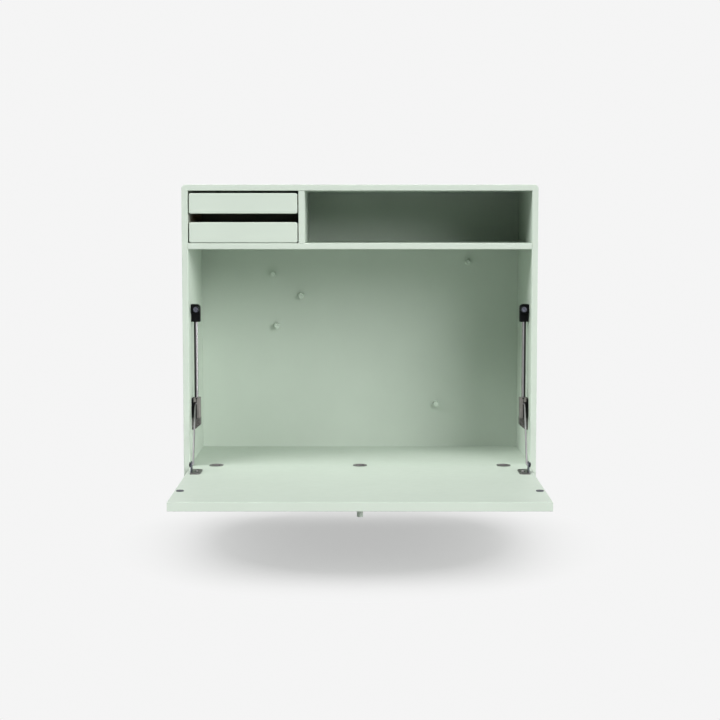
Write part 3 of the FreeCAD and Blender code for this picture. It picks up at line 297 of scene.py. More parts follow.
def ease(mesh, size, degrees=35.0, segments=3, chosen=lambda edge: True):
    """Rounds the chosen edges of a shape that turn by more than an angle."""
    bmesh.ops.dissolve_limit(mesh, angle_limit=math.radians(1.0), verts=mesh.verts, edges=mesh.edges)
    limit = math.radians(degrees)
    sharp = [
        edge for edge in mesh.edges
        if len(edge.link_faces) == 2 and edge.calc_face_angle() > limit and chosen(edge)
    ]
    bmesh.ops.bevel(mesh, geom=sharp, offset=size, segments=segments, profile=0.5, affect="EDGES",
                    clamp_overlap=True, material=-1)
    return mesh


def held(mesh, name):
    """A bmesh as a temporary object, for a cut or a join."""
    data = bpy.data.meshes.new(name)
    mesh.to_mesh(data)
    mesh.free()
    item = bpy.data.objects.new(name, data)
    bpy.context.scene.collection.objects.link(item)
    return item


def combined(mesh, tools, operation):
    """A shape with others cut from it or joined to it."""
    base = held(mesh, "workpiece")
    helpers = []
    for tool in tools:
        helper = held(tool, "tool")
        step = base.modifiers.new("step", "BOOLEAN")
        step.operation, step.solver, step.object = operation, "EXACT", helper
        helpers.append(helper)
    bpy.context.view_layer.update()
    result = bmesh.new()
    result.from_object(base, bpy.context.evaluated_depsgraph_get())
    for item in (base, *helpers):
        data = item.data
        bpy.data.objects.remove(item)
        bpy.data.meshes.remove(data)
    bmesh.ops.remove_doubles(result, verts=result.verts, dist=MERGE)
    return result


def cut(mesh, *tools):
    """A shape with others cut from it."""
    return combined(mesh, tools, "DIFFERENCE")


def joined(mesh, *others):
    """A shape with others joined to it."""
    return combined(mesh, others, "UNION")


def gathered(meshes):
    """Separate shapes in one mesh."""
    whole = bmesh.new()
    for mesh in meshes:
        data = bpy.data.meshes.new("share")
        mesh.to_mesh(data)
        mesh.free()
        whole.from_mesh(data)
        bpy.data.meshes.remove(data)
    return whole


# What moves with each body: the solids of the frame, and the pieces as they are made
riders = {body: [nodes[name] for name in names] for body, names in bodies.items()}


def piece(mesh, name, beside, finish=None, slot=None, smooth=40.0):
    """A piece that rides with a node. It stands for the node, unless it has a slot of its own."""
    taken = slot or slot_of[beside]
    bmesh.ops.scale(mesh, vec=(MM, MM, MM), verts=mesh.verts)
    data = bpy.data.meshes.new(name)
    mesh.to_mesh(data)
    mesh.free()
    data.shade_smooth()
    data.set_sharp_from_angle(angle=math.radians(smooth))
    item = bpy.data.objects.new(name, data)
    bpy.context.scene.collection.objects.link(item)
    weight = item.modifiers.new("flat_faces_stay_flat", "WEIGHTED_NORMAL")
    weight.keep_sharp = True
    data.materials.append(finish or FINISHES[taken])
    riders[body_of[beside]].append(item)
    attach(item, body_of[beside])
    if slot is None:
        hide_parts(beside)
    return item


# ---------------------------------------------------------------- boards

SEAM_BOARDS = ("hinge_board", "flap_board")
BOARDS = ("side_panel_left", "side_panel_right", "top_panel", "bottom_panel", "back_panel", "shelf",
          "drawer_divider", *SEAM_BOARDS)
SEAM_EASE = 1.0


def at_seam(edge):
    """Whether an edge lies along the top of the seam between the inner floor and the flap."""
    return all(abs(vert.co.y - SEAM) < SEAM_GAP and vert.co.z > FLOOR_TOP - CLOSE for vert in edge.verts)


def smoothed(name):
    """A board as it is in the frame, with its round edges shaded smooth and its seam edge eased."""
    mesh = bmesh.new()
    mesh.from_mesh(nodes[name].data)
    bmesh.ops.remove_doubles(mesh, verts=mesh.verts, dist=0.000001)
    bmesh.ops.dissolve_limit(mesh, angle_limit=math.radians(0.5), verts=mesh.verts, edges=mesh.edges)
    bmesh.ops.scale(mesh, vec=(1 / MM, 1 / MM, 1 / MM), verts=mesh.verts)
    if name in SEAM_BOARDS:
        ease(mesh, SEAM_EASE, 60.0, 4, at_seam)
    piece(mesh, name + "_lacquered", name, smooth=30.0)


for board in BOARDS:
    smoothed(board)


# ---------------------------------------------------------------- drawer fronts

# Name and lower level of each drawer's front
DRAWERS = (("upper", -24.0), ("lower", -80.5))
DRAWER_LEFT = -334.0
DRAWER_RIGHT = -122.0
DRAWER_FRONT_TALL = 40.5
DRAWER_FRONT_THICK = 12.0
DRAWER_FRONT_CORNER = 4.0
DRAWER_FRONT_EASE = 2.0
# How far the drawn edges lie from the solid's, inside the same opening
LEFT_EDGE_IN = 0.3
BOTTOM_EDGE_DOWN = 0.6
TOP_EDGE_DOWN = 1.2
# The groove for the drawer's bottom: from the front's ends, behind its face and above its lower edge
GROOVE_END = 6.0
GROOVE_DEPTHS = (9.0, 13.0)
GROOVE_LEVELS = (5.0, 9.1)


def make_drawer_front(name, level):
    """A drawer's front board, rounded towards the room, with a groove behind."""
    left, right = DRAWER_LEFT + LEFT_EDGE_IN, DRAWER_RIGHT
    bottom, top = level - BOTTOM_EDGE_DOWN, level + DRAWER_FRONT_TALL - TOP_EDGE_DOWN
    corners = [(x, z, DRAWER_FRONT_CORNER)
               for x, z in ((left, bottom), (right, bottom), (right, top), (left, top))]
    mesh = prism(corners, "Y", FRONT, FRONT + DRAWER_FRONT_THICK, segments=8)

    def at_front(edge):
        return all(vert.co.y < FRONT + CLOSE for vert in edge.verts)

    ease(mesh, DRAWER_FRONT_EASE, 60.0, 5, at_front)
    groove = block(
        (DRAWER_LEFT + GROOVE_END, FRONT + GROOVE_DEPTHS[0], level + GROOVE_LEVELS[0]),
        (DRAWER_RIGHT - GROOVE_END, FRONT + GROOVE_DEPTHS[1], level + GROOVE_LEVELS[1]),
    )
    piece(cut(mesh, groove), name + "_drawer_face", name + "_drawer_front")


for name, level in DRAWERS:
    make_drawer_front(name, level)


# ---------------------------------------------------------------- pegs and knob

PEG_RADIUS = 6.0
PEG_LENGTH = 15.0
KNOB_RADIUS = 5.4
KNOB_LENGTH = 18.45
KNOB_DEPTH = -659.0


def make_peg(number):
    """A turned peg on a spigot in the back panel, with an eased rim and a hollow in its end."""
    low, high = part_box(f"peg_{number}")
    x, level = (low[0] + high[0]) / 2 / MM, (low[2] + high[2]) / 2 / MM
    spigot = [(0.0, 5.5), (2.6, 5.5), (3.0, 5.1), (3.0, 0.0)]
    rim = [(PEG_RADIUS, 0.0), (PEG_RADIUS, 1.4 - PEG_LENGTH), (PEG_RADIUS - 0.1, 0.8 - PEG_LENGTH),
           (PEG_RADIUS - 0.4, 0.3 - PEG_LENGTH), (PEG_RADIUS - 0.9, 0.05 - PEG_LENGTH),
           (PEG_RADIUS - 1.6, -PEG_LENGTH)]
    hollow = [(2.9, -PEG_LENGTH), (2.5, 0.15 - PEG_LENGTH), (2.2, 0.5 - PEG_LENGTH),
              (1.2, 0.9 - PEG_LENGTH), (0.0, 1.0 - PEG_LENGTH)]
    mesh = lathe([*spigot, *rim, *hollow], "Y", (x, BACK_FACE, level), 40)
    # The peg takes the lighter lacquer copy: painted light on its end
    piece(mesh, f"turned_peg_{number}", f"peg_{number}", LIGHTER_LACQUER_PAINTED_LIGHT)


def make_knob():
    """The turned knob under the flap, on a spigot in its underside."""
    spigot = [(0.0, 8.0), (2.2, 8.0), (2.5, 7.7), (2.5, 0.0)]
    rim = [(KNOB_RADIUS, 0.0), (KNOB_RADIUS, 1.15 - KNOB_LENGTH), (KNOB_RADIUS - 0.1, 0.65 - KNOB_LENGTH),
           (KNOB_RADIUS - 0.4, 0.25 - KNOB_LENGTH), (KNOB_RADIUS - 0.9, 0.05 - KNOB_LENGTH),
           (KNOB_RADIUS - 1.5, -KNOB_LENGTH), (0.0, -KNOB_LENGTH)]
    mesh = lathe([*spigot, *rim], "Z", (0.0, KNOB_DEPTH, FLAP_UNDER), 48)
    # The knob takes the lighter lacquer copy: painted light, for the light that falls on it from the front
    piece(mesh, "turned_knob", "pull_knob", LIGHTER_LACQUER_PAINTED_LIGHT)


for number in range(1, 6):
    make_peg(number)
make_knob()


# ---------------------------------------------------------------- flush hinges and strike discs

# Name and X of each hinge, and the distance from the seam to the centre of a half's round end
HINGES = (("left", -285.0), ("centre", 0.0), ("right", 285.0))
HINGE_REACH = 6.0
# Edges of a half that are nearer the seam than this stay sharp
SHARP_WITHIN = 1.0
# Radius of the round end, levels below and above the inner floor, and eased edge
FLANGE = (13.7, -1.8, 0.0, 0.3)
CUP = (12.2, -10.0, -1.0, 0.6)
# Stretches along the fold axis: where a half leaves room for the other's knuckles, and its own
FLAP_ROOM, FLAP_KNUCKLES = ((-8.3, -3.7), (3.7, 8.3)), ((-3.7, 3.7),)
FLOOR_ROOM, FLOOR_KNUCKLES = ((-4.0, 4.0),), ((-8.0, -4.0), (4.0, 8.0))
KNUCKLE_RADIUS = 2.0
KNUCKLE_ROOM = 0.3
KNUCKLE_EASE = 0.3
# The screw holes of a half: to either side of its middle, and out from the seam
SCREW_ACROSS = 7.6
SCREW_OUT = 9.5
STRIKE_DEPTH = -593.0


def hinge_plate(x, wing, radius, low, high, size):
    """A plate from the seam to a round end. Its edges are eased, apart from those at the seam."""
    near = SEAM + wing * SEAM_GAP / 2
    far = SEAM + wing * (HINGE_REACH + radius)
    turn = radius - CLOSE
    corners = [(x - radius, near), (x - radius, far, turn), (x + radius, far, turn), (x + radius, near)]

    def away(edge):
        return any(abs(vert.co.y - SEAM) > SHARP_WITHIN for vert in edge.verts)

    return ease(prism(corners, "Z", FLOOR_TOP + low, FLOOR_TOP + high, 24), size, 50.0, 2, away)


def knuckle(start, stop, centre):
    """A barrel round the fold axis with eased ends."""
    inner = KNUCKLE_RADIUS - KNUCKLE_EASE
    profile = [(0.0, start), (inner, start), (KNUCKLE_RADIUS, start + KNUCKLE_EASE),
               (KNUCKLE_RADIUS, stop - KNUCKLE_EASE), (inner, stop), (0.0, stop)]
    return lathe(profile, "X", centre, 24)


def make_hinge_half(kind, name, x, wing, room, knuckles):
    """A flush flange over a deep cup, both with a round end, and their share of the knuckles."""
    centre = (x, SEAM, FLOOR_TOP)
    half = joined(hinge_plate(x, wing, *FLANGE), hinge_plate(x, wing, *CUP))
    clear = KNUCKLE_RADIUS + KNUCKLE_ROOM
    half = cut(half, *[cylinder(clear, *stretch, "X", centre, 24) for stretch in room])
    half = joined(half, *[knuckle(*stretch, centre) for stretch in knuckles])
    sink = [(0.0, -1.4), (1.3, -1.4), (1.9, 0.1), (0.0, 0.1)]
    half = cut(half, *[
        lathe(sink, "Z", (x + across, SEAM + wing * SCREW_OUT, FLOOR_TOP), 16)
        for across in (-SCREW_ACROSS, SCREW_ACROSS)
    ])
    piece(half, f"{kind}_hinge_half_{name}", f"{kind}_hinge_{name}", smooth=35.0)


def hinge_pin(x):
    """The pin of a hinge, with eased ends."""
    profile = [(0.0, -8.2), (0.8, -8.2), (1.0, -8.0), (1.0, 8.0), (0.8, 8.2), (0.0, 8.2)]
    return lathe(profile, "X", (x, SEAM, FLOOR_TOP), 20)


for name, x in HINGES:
    make_hinge_half("flap", name, x, -1, FLAP_ROOM, FLAP_KNUCKLES)
    make_hinge_half("floor", name, x, 1, FLOOR_ROOM, FLOOR_KNUCKLES)
piece(gathered([hinge_pin(x) for name, x in HINGES]), "hinge_axles", "hinge_pins")


# ---------------------------------------------------------------- flap stays

# A name that ends in _IN is a distance from a side panel's inner face into the desk
ROD_IN = 8.8
ROD_DEPTH = -246.0
ROD_RADIUS = 4.0
ROD_BORE = ROD_RADIUS + 0.05
ROD_BOTTOM = -444.0
ROD_TOP = -225.0
ROD_EASE = 0.4
# The liner's arc: 0 degrees faces the side panel, and 90 faces the room
LINER_ARC = (-12.0, 88.0)

CATCH_IN = 12.2
CATCH_LEVEL = -213.0
CATCH_FACE = -281.9
MAGNET_RADIUS = 5.2

HEAD_IN = 18.0
HEAD_TOP = -204.0
HEAD_CORNER = 7.0
HEAD_BOTTOM = -239.0
HEAD_REAR = -238.0
HEAD_FRONT = -253.0
CAP_BOTTOM = -222.0
CAP_FRONT = -258.0

FOOT_IN = 16.6
FOOT_TOP = -431.0
FOOT_SLOPE_TOP = -445.6
FOOT_BOTTOM = -455.0
FOOT_BOTTOM_IN = 5.0
FOOT_REAR = -228.0
FOOT_FRONT = -254.0

# Depth, level and face of each stay's screws: the upper one in the head, the lower one in the foot
HEAD_SCREW = (-246.0, -213.0, HEAD_IN)
FOOT_SCREW = (-233.0, -440.0, FOOT_IN)
SCREW_SHANK = 1.75
# Half the length and half the width of a cross recess's arms
STAY_CROSS = (1.9, 0.38)
BRACKET_CROSS = (1.9, 0.36)

SLIDER_IN = (3.6, 17.2)
SLIDER_BOTTOM = -430.6
SLIDER_TOP = -390.2
SLIDER_FRONT = -262.0
SLIDER_REAR = -238.0
CHANNEL_RADIUS = 4.3
SLOT_IN = (4.4, 10.85)
SLOT_DEEP = 8.3
GROOVE_IN = (9.7, 10.9)
GROOVE_DEEP = 1.6
CHEEK_IN = (1.5, 4.35)

# The wire's ends: its pin in the slider, and the depth and level of its pin in the flap's bracket
PIN_DEPTH = -258.0
PIN_LEVEL = -402.0
BRACKET_PIN = (-376.0, -507.0)
WIRE_RADIUS = 1.8
WIRE_BORE = WIRE_RADIUS + 0.05
WIRE_BEND = 2.1
# The share of its radius that the wire's ends are eased by
WIRE_EASE = 0.2
# The four points of the wire's path, from its end in the bracket to its end in the slider
WIRE_IN = (6.0, 14.1, 7.4, 15.6)
CLIP_IN = (9.4, 6.6)

SHEET = 2.0
BRACKET_IN = 9.8
BRACKET_WIDE = 20.0
BRACKET_SCREW_IN = 21.2
BRACKET_SCREW_DEPTH = -374.0


def arms(cross):
    """Both arms of a cross recess, as half sizes in the two directions."""
    return cross, cross[::-1]


def stay_screw(side, depth, level, face):
    """A countersunk cross recess screw that stands along X with its head at a face."""
    profile = [(0.0, 0.0), (3.3, 0.0), (SCREW_SHANK, 2.0), (SCREW_SHANK, 26.0), (1.2, 27.0), (0.0, 27.0)]
    x = inward(side, face)
    recess = [
        block((x - 0.9, depth - long, level - tall), (x + 0.9, depth + long, level + tall))
        for long, tall in arms(STAY_CROSS)
    ]
    return cut(sideways(profile, side, face, depth, level, 32), *recess)


def screw_seat(side, depth, level, face):
    """The hole for a stay screw, countersunk at the face."""
    profile = [(0.0, -0.5), (3.36, -0.5), (3.36, 0.0), (1.8, 2.0), (1.8, 20.0), (0.0, 20.0)]
    return sideways(profile, side, face, depth, level, 32)


def make_head(name, side):
    """The upper block of a stay, with the boss that carries the catch magnet."""
    def outline(low):
        return [
            (inward(side, 0.0), low), (inward(side, HEAD_IN), low),
            (inward(side, HEAD_IN), HEAD_TOP, HEAD_CORNER), (inward(side, 0.0), HEAD_TOP),
        ]

    lower = prism(outline(HEAD_BOTTOM), "Y", HEAD_REAR, HEAD_FRONT)
    cap = prism(outline(CAP_BOTTOM), "Y", HEAD_FRONT, CAP_FRONT)
    mesh = ease(joined(lower, cap), 0.7, 50.0, 3)
    seat, seat_depth = MAGNET_RADIUS + 0.02, CATCH_FACE + 3.1
    boss = [
        (0.0, CAP_FRONT + 2.0), (6.7, CAP_FRONT + 2.0), (6.7, CAP_FRONT), (6.0, CAP_FRONT - 0.6),
        (5.8, CAP_FRONT - 1.6), (5.8, CATCH_FACE + 0.5), (5.65, CATCH_FACE + 0.1), (5.4, CATCH_FACE),
        (seat, CATCH_FACE + 0.2), (seat, seat_depth), (0.0, seat_depth),
    ]
    mesh = joined(mesh, lathe(boss, "Y", (inward(side, CATCH_IN), 0.0, CATCH_LEVEL), 48))
    bore = cylinder(ROD_BORE, -OVER, ROD_TOP - HEAD_BOTTOM, "Z",
                    (inward(side, ROD_IN), ROD_DEPTH, HEAD_BOTTOM), 32)
    mesh = cut(mesh, bore, screw_seat(side, *HEAD_SCREW))
    piece(mesh, f"head_block_{name}", f"stay_head_{name}")


def make_magnet(name, side):
    """The round catch magnet, with an eased rim and a shallow dimple."""
    profile = [
        (0.0, 3.0), (MAGNET_RADIUS, 3.0), (MAGNET_RADIUS, 0.35), (5.05, 0.1), (4.8, 0.0), (2.0, 0.0),
        (1.7, 0.15), (1.5, 0.5), (0.0, 0.6),
    ]
    mesh = lathe(profile, "Y", (inward(side, CATCH_IN), CATCH_FACE, CATCH_LEVEL), 48)
    piece(mesh, f"magnet_{name}", f"catch_magnet_{name}")


def make_strike(name, side):
    """The flap's steel disc that meets the magnet, let in with a low rim and a small hole."""
    profile = [
        (0.0, -1.2), (6.9, -1.2), (6.9, 1.5), (6.8, 1.7), (6.6, 1.8), (6.0, 1.8), (5.8, 1.68),
        (2.0, 1.68), (1.7, 1.3), (0.0, 1.2),
    ]
    mesh = lathe(profile, "Z", (inward(side, CATCH_IN), STRIKE_DEPTH, FLOOR_TOP), 56)
    piece(mesh, f"strike_{name}", f"strike_disc_{name}", DARK_STEEL_AND_PAINTED_SHADE)


def make_rod(name, side):
    """A bright rod with a dark liner let into the quarter that faces the side panel and the room."""
    inner = ROD_RADIUS - ROD_EASE
    profile = [(0.0, ROD_BOTTOM), (inner, ROD_BOTTOM), (ROD_RADIUS, ROD_BOTTOM + ROD_EASE),
               (ROD_RADIUS, ROD_TOP - ROD_EASE), (inner, ROD_TOP), (0.0, ROD_TOP)]
    mesh = lathe(profile, "Z", (inward(side, ROD_IN), ROD_DEPTH, 0.0), 64)
    item = piece(mesh, f"guide_rod_{name}", f"stay_rod_{name}")
    item.data.materials.append(LINER_AND_SLOT_SHADE)
    for face in item.data.polygons:
        normal = face.normal
        turn = math.degrees(math.atan2(-normal.y, normal.x * side))
        if abs(normal.z) < 0.5 and LINER_ARC[0] < turn < LINER_ARC[1]:
            face.material_index = 1


def make_foot(name, side):
    """The lower block of a stay, cut away below towards the desk's middle."""
    corners = [
        (inward(side, 0.0), FOOT_BOTTOM), (inward(side, FOOT_BOTTOM_IN), FOOT_BOTTOM),
        (inward(side, FOOT_IN), FOOT_SLOPE_TOP), (inward(side, FOOT_IN), FOOT_TOP),
        (inward(side, 0.0), FOOT_TOP),
    ]
    mesh = ease(prism(corners, "Y", FOOT_REAR, FOOT_FRONT), 0.8, 20.0, 3)
    bore = cylinder(ROD_BORE, OVER, ROD_BOTTOM - FOOT_TOP, "Z",
                    (inward(side, ROD_IN), ROD_DEPTH, FOOT_TOP), 32)
    mesh = cut(mesh, bore, screw_seat(side, *FOOT_SCREW))
    # The foot's finish, dark_cast, is the cast grey darkened as painted shade
    piece(mesh, f"foot_block_{name}", f"stay_foot_{name}")


def slider_cuts(side):
    """The rod's channel, open at the rear, the wire's slot, a groove, a notch and the pin's hole."""
    low, high, front, rear = SLIDER_BOTTOM, SLIDER_TOP, SLIDER_FRONT, SLIDER_REAR
    channel = cylinder(CHANNEL_RADIUS, low - OVER, high + OVER, "Z",
                       (inward(side, ROD_IN), ROD_DEPTH, 0.0), 48)
    opening = block((inward(side, ROD_IN - CHANNEL_RADIUS), ROD_DEPTH, low - OVER),
                    (inward(side, ROD_IN + CHANNEL_RADIUS), rear + OVER, high + OVER))
    slot = block((inward(side, SLOT_IN[0]), front + SLOT_DEEP, low - OVER),
                 (inward(side, SLOT_IN[1]), front - OVER, PIN_LEVEL + 3.6))
    groove = block((inward(side, GROOVE_IN[0]), front - OVER, low - OVER),
                   (inward(side, GROOVE_IN[1]), front + GROOVE_DEEP, high + OVER))
    mouth, tip = high + 0.2, high - 5.4
    notch = prism([(inward(side, 8.2), mouth), (inward(side, 10.4), tip), (inward(side, 12.6), mouth)],
                  "Y", front - OVER, front + 3.4)
    hole = sideways([(0.0, 0.0), (WIRE_BORE, 0.0), (WIRE_BORE, -5.4), (0.0, -5.4)], side, 10.5,
                    PIN_DEPTH, PIN_LEVEL, 28)
    return channel, opening, slot, groove, notch, hole


def make_slider(name, side):
    """The brake slider's cast body. The walls of the wire's slot are dark, as painted shade inside the
    slot.
    """
    front = SLIDER_FRONT
    near, far = inward(side, SLIDER_IN[0]), inward(side, SLIDER_IN[1])
    corners = [(near, SLIDER_REAR), (near, front, 0.8), (far, front, 1.6), (far, SLIDER_REAR, 1.6)]
    body = ease(prism(corners, "Z", SLIDER_BOTTOM, SLIDER_TOP), 0.6, 60.0, 3)
    item = piece(cut(body, *slider_cuts(side)), f"brake_slider_{name}", f"stay_slider_{name}")
    # The slot's walls take the dark plastic as painted shade
    item.data.materials.append(LINER_AND_SLOT_SHADE)
    for face in item.data.polygons:
        spot = face.center / MM
        within = SLOT_IN[0] - 0.1 < INSIDE - abs(spot.x) < SLOT_IN[1] + 0.1
        if within and front + 0.2 < spot.y < front + SLOT_DEEP + 0.1:
            face.material_index = 1


def make_cheek(name, side):
    """The black cheek that lines a slider towards the panel, a piece of the scene alone."""
    near, far = inward(side, CHEEK_IN[0]), inward(side, CHEEK_IN[1])
    rear, front = SLIDER_REAR + 1.0, SLIDER_FRONT - 0.6
    corners = [(near, rear), (near, front, 1.0), (far, front, 0.6), (far, rear)]
    mesh = ease(prism(corners, "Z", SLIDER_BOTTOM + 0.2, SLIDER_TOP - 0.4), 0.4, 60.0, 2)
    piece(mesh, f"slider_cheek_{name}", f"stay_slider_{name}", slot="black_plastic")


def wire_run(points, radius, bend, steps=10, sides=20):
    """A round wire along straight runs joined by bends: a disc pushed and turned along them."""
    spots = [Vector(spot) for spot in points]
    mesh = bmesh.new()
    way = (spots[1] - spots[0]).normalized()
    aim = way.to_track_quat("Z", "Y").to_matrix().to_4x4()
    small = 1 - WIRE_EASE
    made = bmesh.ops.create_circle(mesh, cap_ends=False, segments=sides, radius=radius * small,
                                   matrix=Matrix.Translation(spots[0]) @ aim)
    bmesh.ops.contextual_create(mesh, geom=made["verts"])

    def push(edges, vector, swell=None):
        made = bmesh.ops.extrude_edge_only(mesh, edges=edges)
        verts = [item for item in made["geom"] if isinstance(item, bmesh.types.BMVert)]
        bmesh.ops.translate(mesh, vec=vector, verts=verts)
        if swell:
            middle = sum((vert.co for vert in verts), Vector()) / len(verts)
            bmesh.ops.scale(mesh, vec=(swell, swell, swell), verts=verts, space=Matrix.Translation(-middle))
        return [item for item in made["geom"] if isinstance(item, bmesh.types.BMEdge) and item.is_boundary]

    edges = push(mesh.edges[:], way * radius * WIRE_EASE, 1 / small)
    here = spots[0] + way * radius * WIRE_EASE
    for number in range(1, len(spots) - 1):
        onward = (spots[number + 1] - spots[number]).normalized()
        angle = way.angle(onward)
        trim = bend * math.tan(angle / 2)
        stop = spots[number] - way * trim
        edges = push(edges, stop - here)
        across = way.cross(onward).normalized()
        centre = stop + across.cross(way).normalized() * bend
        made = bmesh.ops.spin(mesh, geom=edges, cent=centre, axis=across, angle=angle, steps=steps,
                              use_duplicate=False)
        edges = [item for item in made["geom_last"] if isinstance(item, bmesh.types.BMEdge)]
        here = spots[number] + onward * trim
        way = onward
    edges = push(edges, spots[-1] - here - way * radius * WIRE_EASE)
    edges = push(edges, way * radius * WIRE_EASE, small)
    bmesh.ops.contextual_create(mesh, geom=edges)
    bmesh.ops.remove_doubles(mesh, verts=mesh.verts, dist=MERGE)
    bmesh.ops.recalc_face_normals(mesh, faces=mesh.faces)
    return mesh


def make_link(name, side):
    """The bent wire from the bracket's leg to the slider."""
    ends = (BRACKET_PIN, BRACKET_PIN, (PIN_DEPTH, PIN_LEVEL), (PIN_DEPTH, PIN_LEVEL))
    path = [(inward(side, distance), *end) for distance, end in zip(WIRE_IN, ends)]
    piece(wire_run(path, WIRE_RADIUS, WIRE_BEND), f"wire_link_{name}", f"stay_link_{name}")


def make_clip(name, side):
    """The black push-on clip with two ears that keeps the wire in the bracket."""
    depth, level = BRACKET_PIN
    near, far = inward(side, CLIP_IN[0]), inward(side, CLIP_IN[1])
    profile = [(WIRE_BORE, 0.0), (3.3, 0.0), (3.7, 0.4), (3.7, 2.1), (3.0, 2.8), (WIRE_BORE, 2.8),
               (WIRE_BORE, 0.0)]
    ears = [
        block((near + side * 0.5, depth - 1.1, level + low), (far - side * 0.4, depth + 1.1, level + high))
        for low, high in ((2.8, 5.0), (-5.0, -2.8))
    ]
    ring = sideways(profile, side, CLIP_IN[0], depth, level, 36)
    piece(joined(ring, *[ease(ear, 0.4) for ear in ears]), f"wire_clip_{name}", f"link_clip_{name}")


def bracket_cuts(side):
    """The screw's hole, the eye for the wire, and a shallow slot pressed into the foot."""
    depth, level = BRACKET_PIN
    x, screw_depth = inward(side, BRACKET_SCREW_IN), BRACKET_SCREW_DEPTH
    hole = cylinder(2.15, -OVER, SHEET + OVER, "Z", (x, screw_depth, FLOOR_TOP), 28)
    eye = cylinder(WIRE_BORE, -3.0, 3.0, "X", (inward(side, BRACKET_IN + SHEET / 2), depth, level), 28)
    half, near, far, turn = 1.9, screw_depth + 12.0, screw_depth + 21.0, 1.8
    corners = [(x - half, near, turn), (x + half, near, turn), (x + half, far, turn), (x - half, far, turn)]
    slot = prism(corners, "Z", FLOOR_TOP + 0.9, FLOOR_TOP + SHEET + OVER, 5)
    return hole, eye, slot


def make_bracket(name, side):
    """An angle of sheet steel: a foot on the flap and a tapered leg for the wire."""
    depth, level = BRACKET_PIN
    edge_x, room_x = inward(side, BRACKET_IN), inward(side, BRACKET_IN + BRACKET_WIDE)
    front, rear, corner = depth - 27.0, depth + 31.0, 8.0
    foot = prism([(edge_x, front), (room_x, front, corner), (room_x, rear, corner), (edge_x, rear)],
                 "Z", FLOOR_TOP, FLOOR_TOP + SHEET, 8)
    base, eye, shoulder = 15.0, 6.0, FLOOR_TOP + 4.0
    leg = prism(
        [(depth - base, FLOOR_TOP), (depth + base, FLOOR_TOP), (depth + base, shoulder, 2.0),
         (depth + eye, level, 6.0), (depth + eye, level + eye, 5.9), (depth - eye, level + eye, 5.9),
         (depth - eye, level, 6.0), (depth - base, shoulder, 2.0)],
        "X", edge_x, inward(side, BRACKET_IN + SHEET), 8,
    )
    mesh = joined(foot, leg)

    def at_bend(edge):
        return all(abs(vert.co.x - edge_x) < CLOSE and abs(vert.co.z - FLOOR_TOP) < CLOSE
                   for vert in edge.verts)

    ease(mesh, 1.5, 50.0, 5, at_bend)
    ease(mesh, 0.35, 50.0, 2)
    item = piece(cut(mesh, *bracket_cuts(side)), f"steel_angle_{name}", f"flap_bracket_{name}")
    # The leg, above the foot, takes the darker steel: painted shade on one part of a single steel angle
    item.data.materials.append(DARK_STEEL_AND_PAINTED_SHADE)
    for face in item.data.polygons:
        if face.center.z / MM > FLOOR_TOP + SHEET + 0.4:
            face.material_index = 1


def bracket_screw(side):
    """A round headed cross recess screw through the bracket's foot."""
    x, depth, face = inward(side, BRACKET_SCREW_IN), BRACKET_SCREW_DEPTH, FLOOR_TOP + SHEET
    profile = [
        (0.0, -12.0), (1.1, -11.4), (SCREW_SHANK, -10.2), (SCREW_SHANK, 0.0), (3.7, 0.0), (3.8, 0.15),
        (3.8, 0.6), (3.55, 1.2), (3.0, 1.75), (2.2, 2.1), (1.2, 2.2), (0.0, 2.2),
    ]
    recess = [
        block((x - long, depth - tall, face + 0.9), (x + long, depth + tall, face + 3.0))
        for long, tall in arms(BRACKET_CROSS)
    ]
    return cut(lathe(profile, "Z", (x, depth, face), 36), *recess)


for name, side in SIDES:
    make_strike(name, side)
for name, side in SIDES:
    make_head(name, side)
    make_magnet(name, side)
    make_rod(name, side)
    make_foot(name, side)
    make_slider(name, side)
    make_cheek(name, side)
    make_link(name, side)
    make_clip(name, side)
    make_bracket(name, side)
stay_screws = [stay_screw(side, *place) for name, side in SIDES for place in (HEAD_SCREW, FOOT_SCREW)]
piece(gathered(stay_screws), "stay_block_screws", "stay_screws")
piece(gathered([bracket_screw(side) for name, side in SIDES]), "angle_screws", "bracket_screws")


# ---------------------------------------------------------------- room, lamps and camera, in metres

FLOOR_LEVEL = -0.672
FLOOR_MIDDLE = -0.28
FLOOR_HALF = 3.0
FLOOR_COLOUR = (0.86, 0.86, 0.86)
FLOOR_BOUNCE = (0.45, 0.45, 0.45)
# The floor passes into the background along an oval: how the oval is stretched, the background's
# share within it, and the two distances between which that share grows to the whole
FLOOR_OVAL = (1.05, 0.95, 1.0)
# FLOOR_VEIL is painted light: a glow in the background's colour that lifts the floor's shadow under the
# desk
FLOOR_VEIL = 0.51
FLOOR_FADE = (0.29, 0.52)
ROOM_LIGHT = 0.02

# Name, azimuth, elevation, angle, strength, and what the lamp lights
LAMPS = (
    ("key", 34.0, 23.0, 35.0, 1.72, "desk"),
    ("right_side", 75.0, 5.0, 26.0, 1.42, "desk"),
    ("left_side", -70.0, 30.0, 30.0, 1.55, "desk"),
    ("fill", -45.0, 45.0, 26.0, 0.75, "desk"),
    ("overhead", -40.0, 70.0, 40.0, 1.10, "desk"),
    ("rear", 180.0, 25.0, 40.0, 1.20, "carcass"),
    ("floor_lamp", 0.0, 79.0, 130.0, 3.60, "floor"),
)
LAMP_DISTANCE = 4.0

CAMERA_PLACE = (0.0001, -3.530, -0.025)
# Tilt in radians below level, lens and sensor in millimetres
CAMERA_TILT = 0.0883
CAMERA_LENS = 82.5
CAMERA_SENSOR = 36.0
CAMERA_SIGHT = 200.0


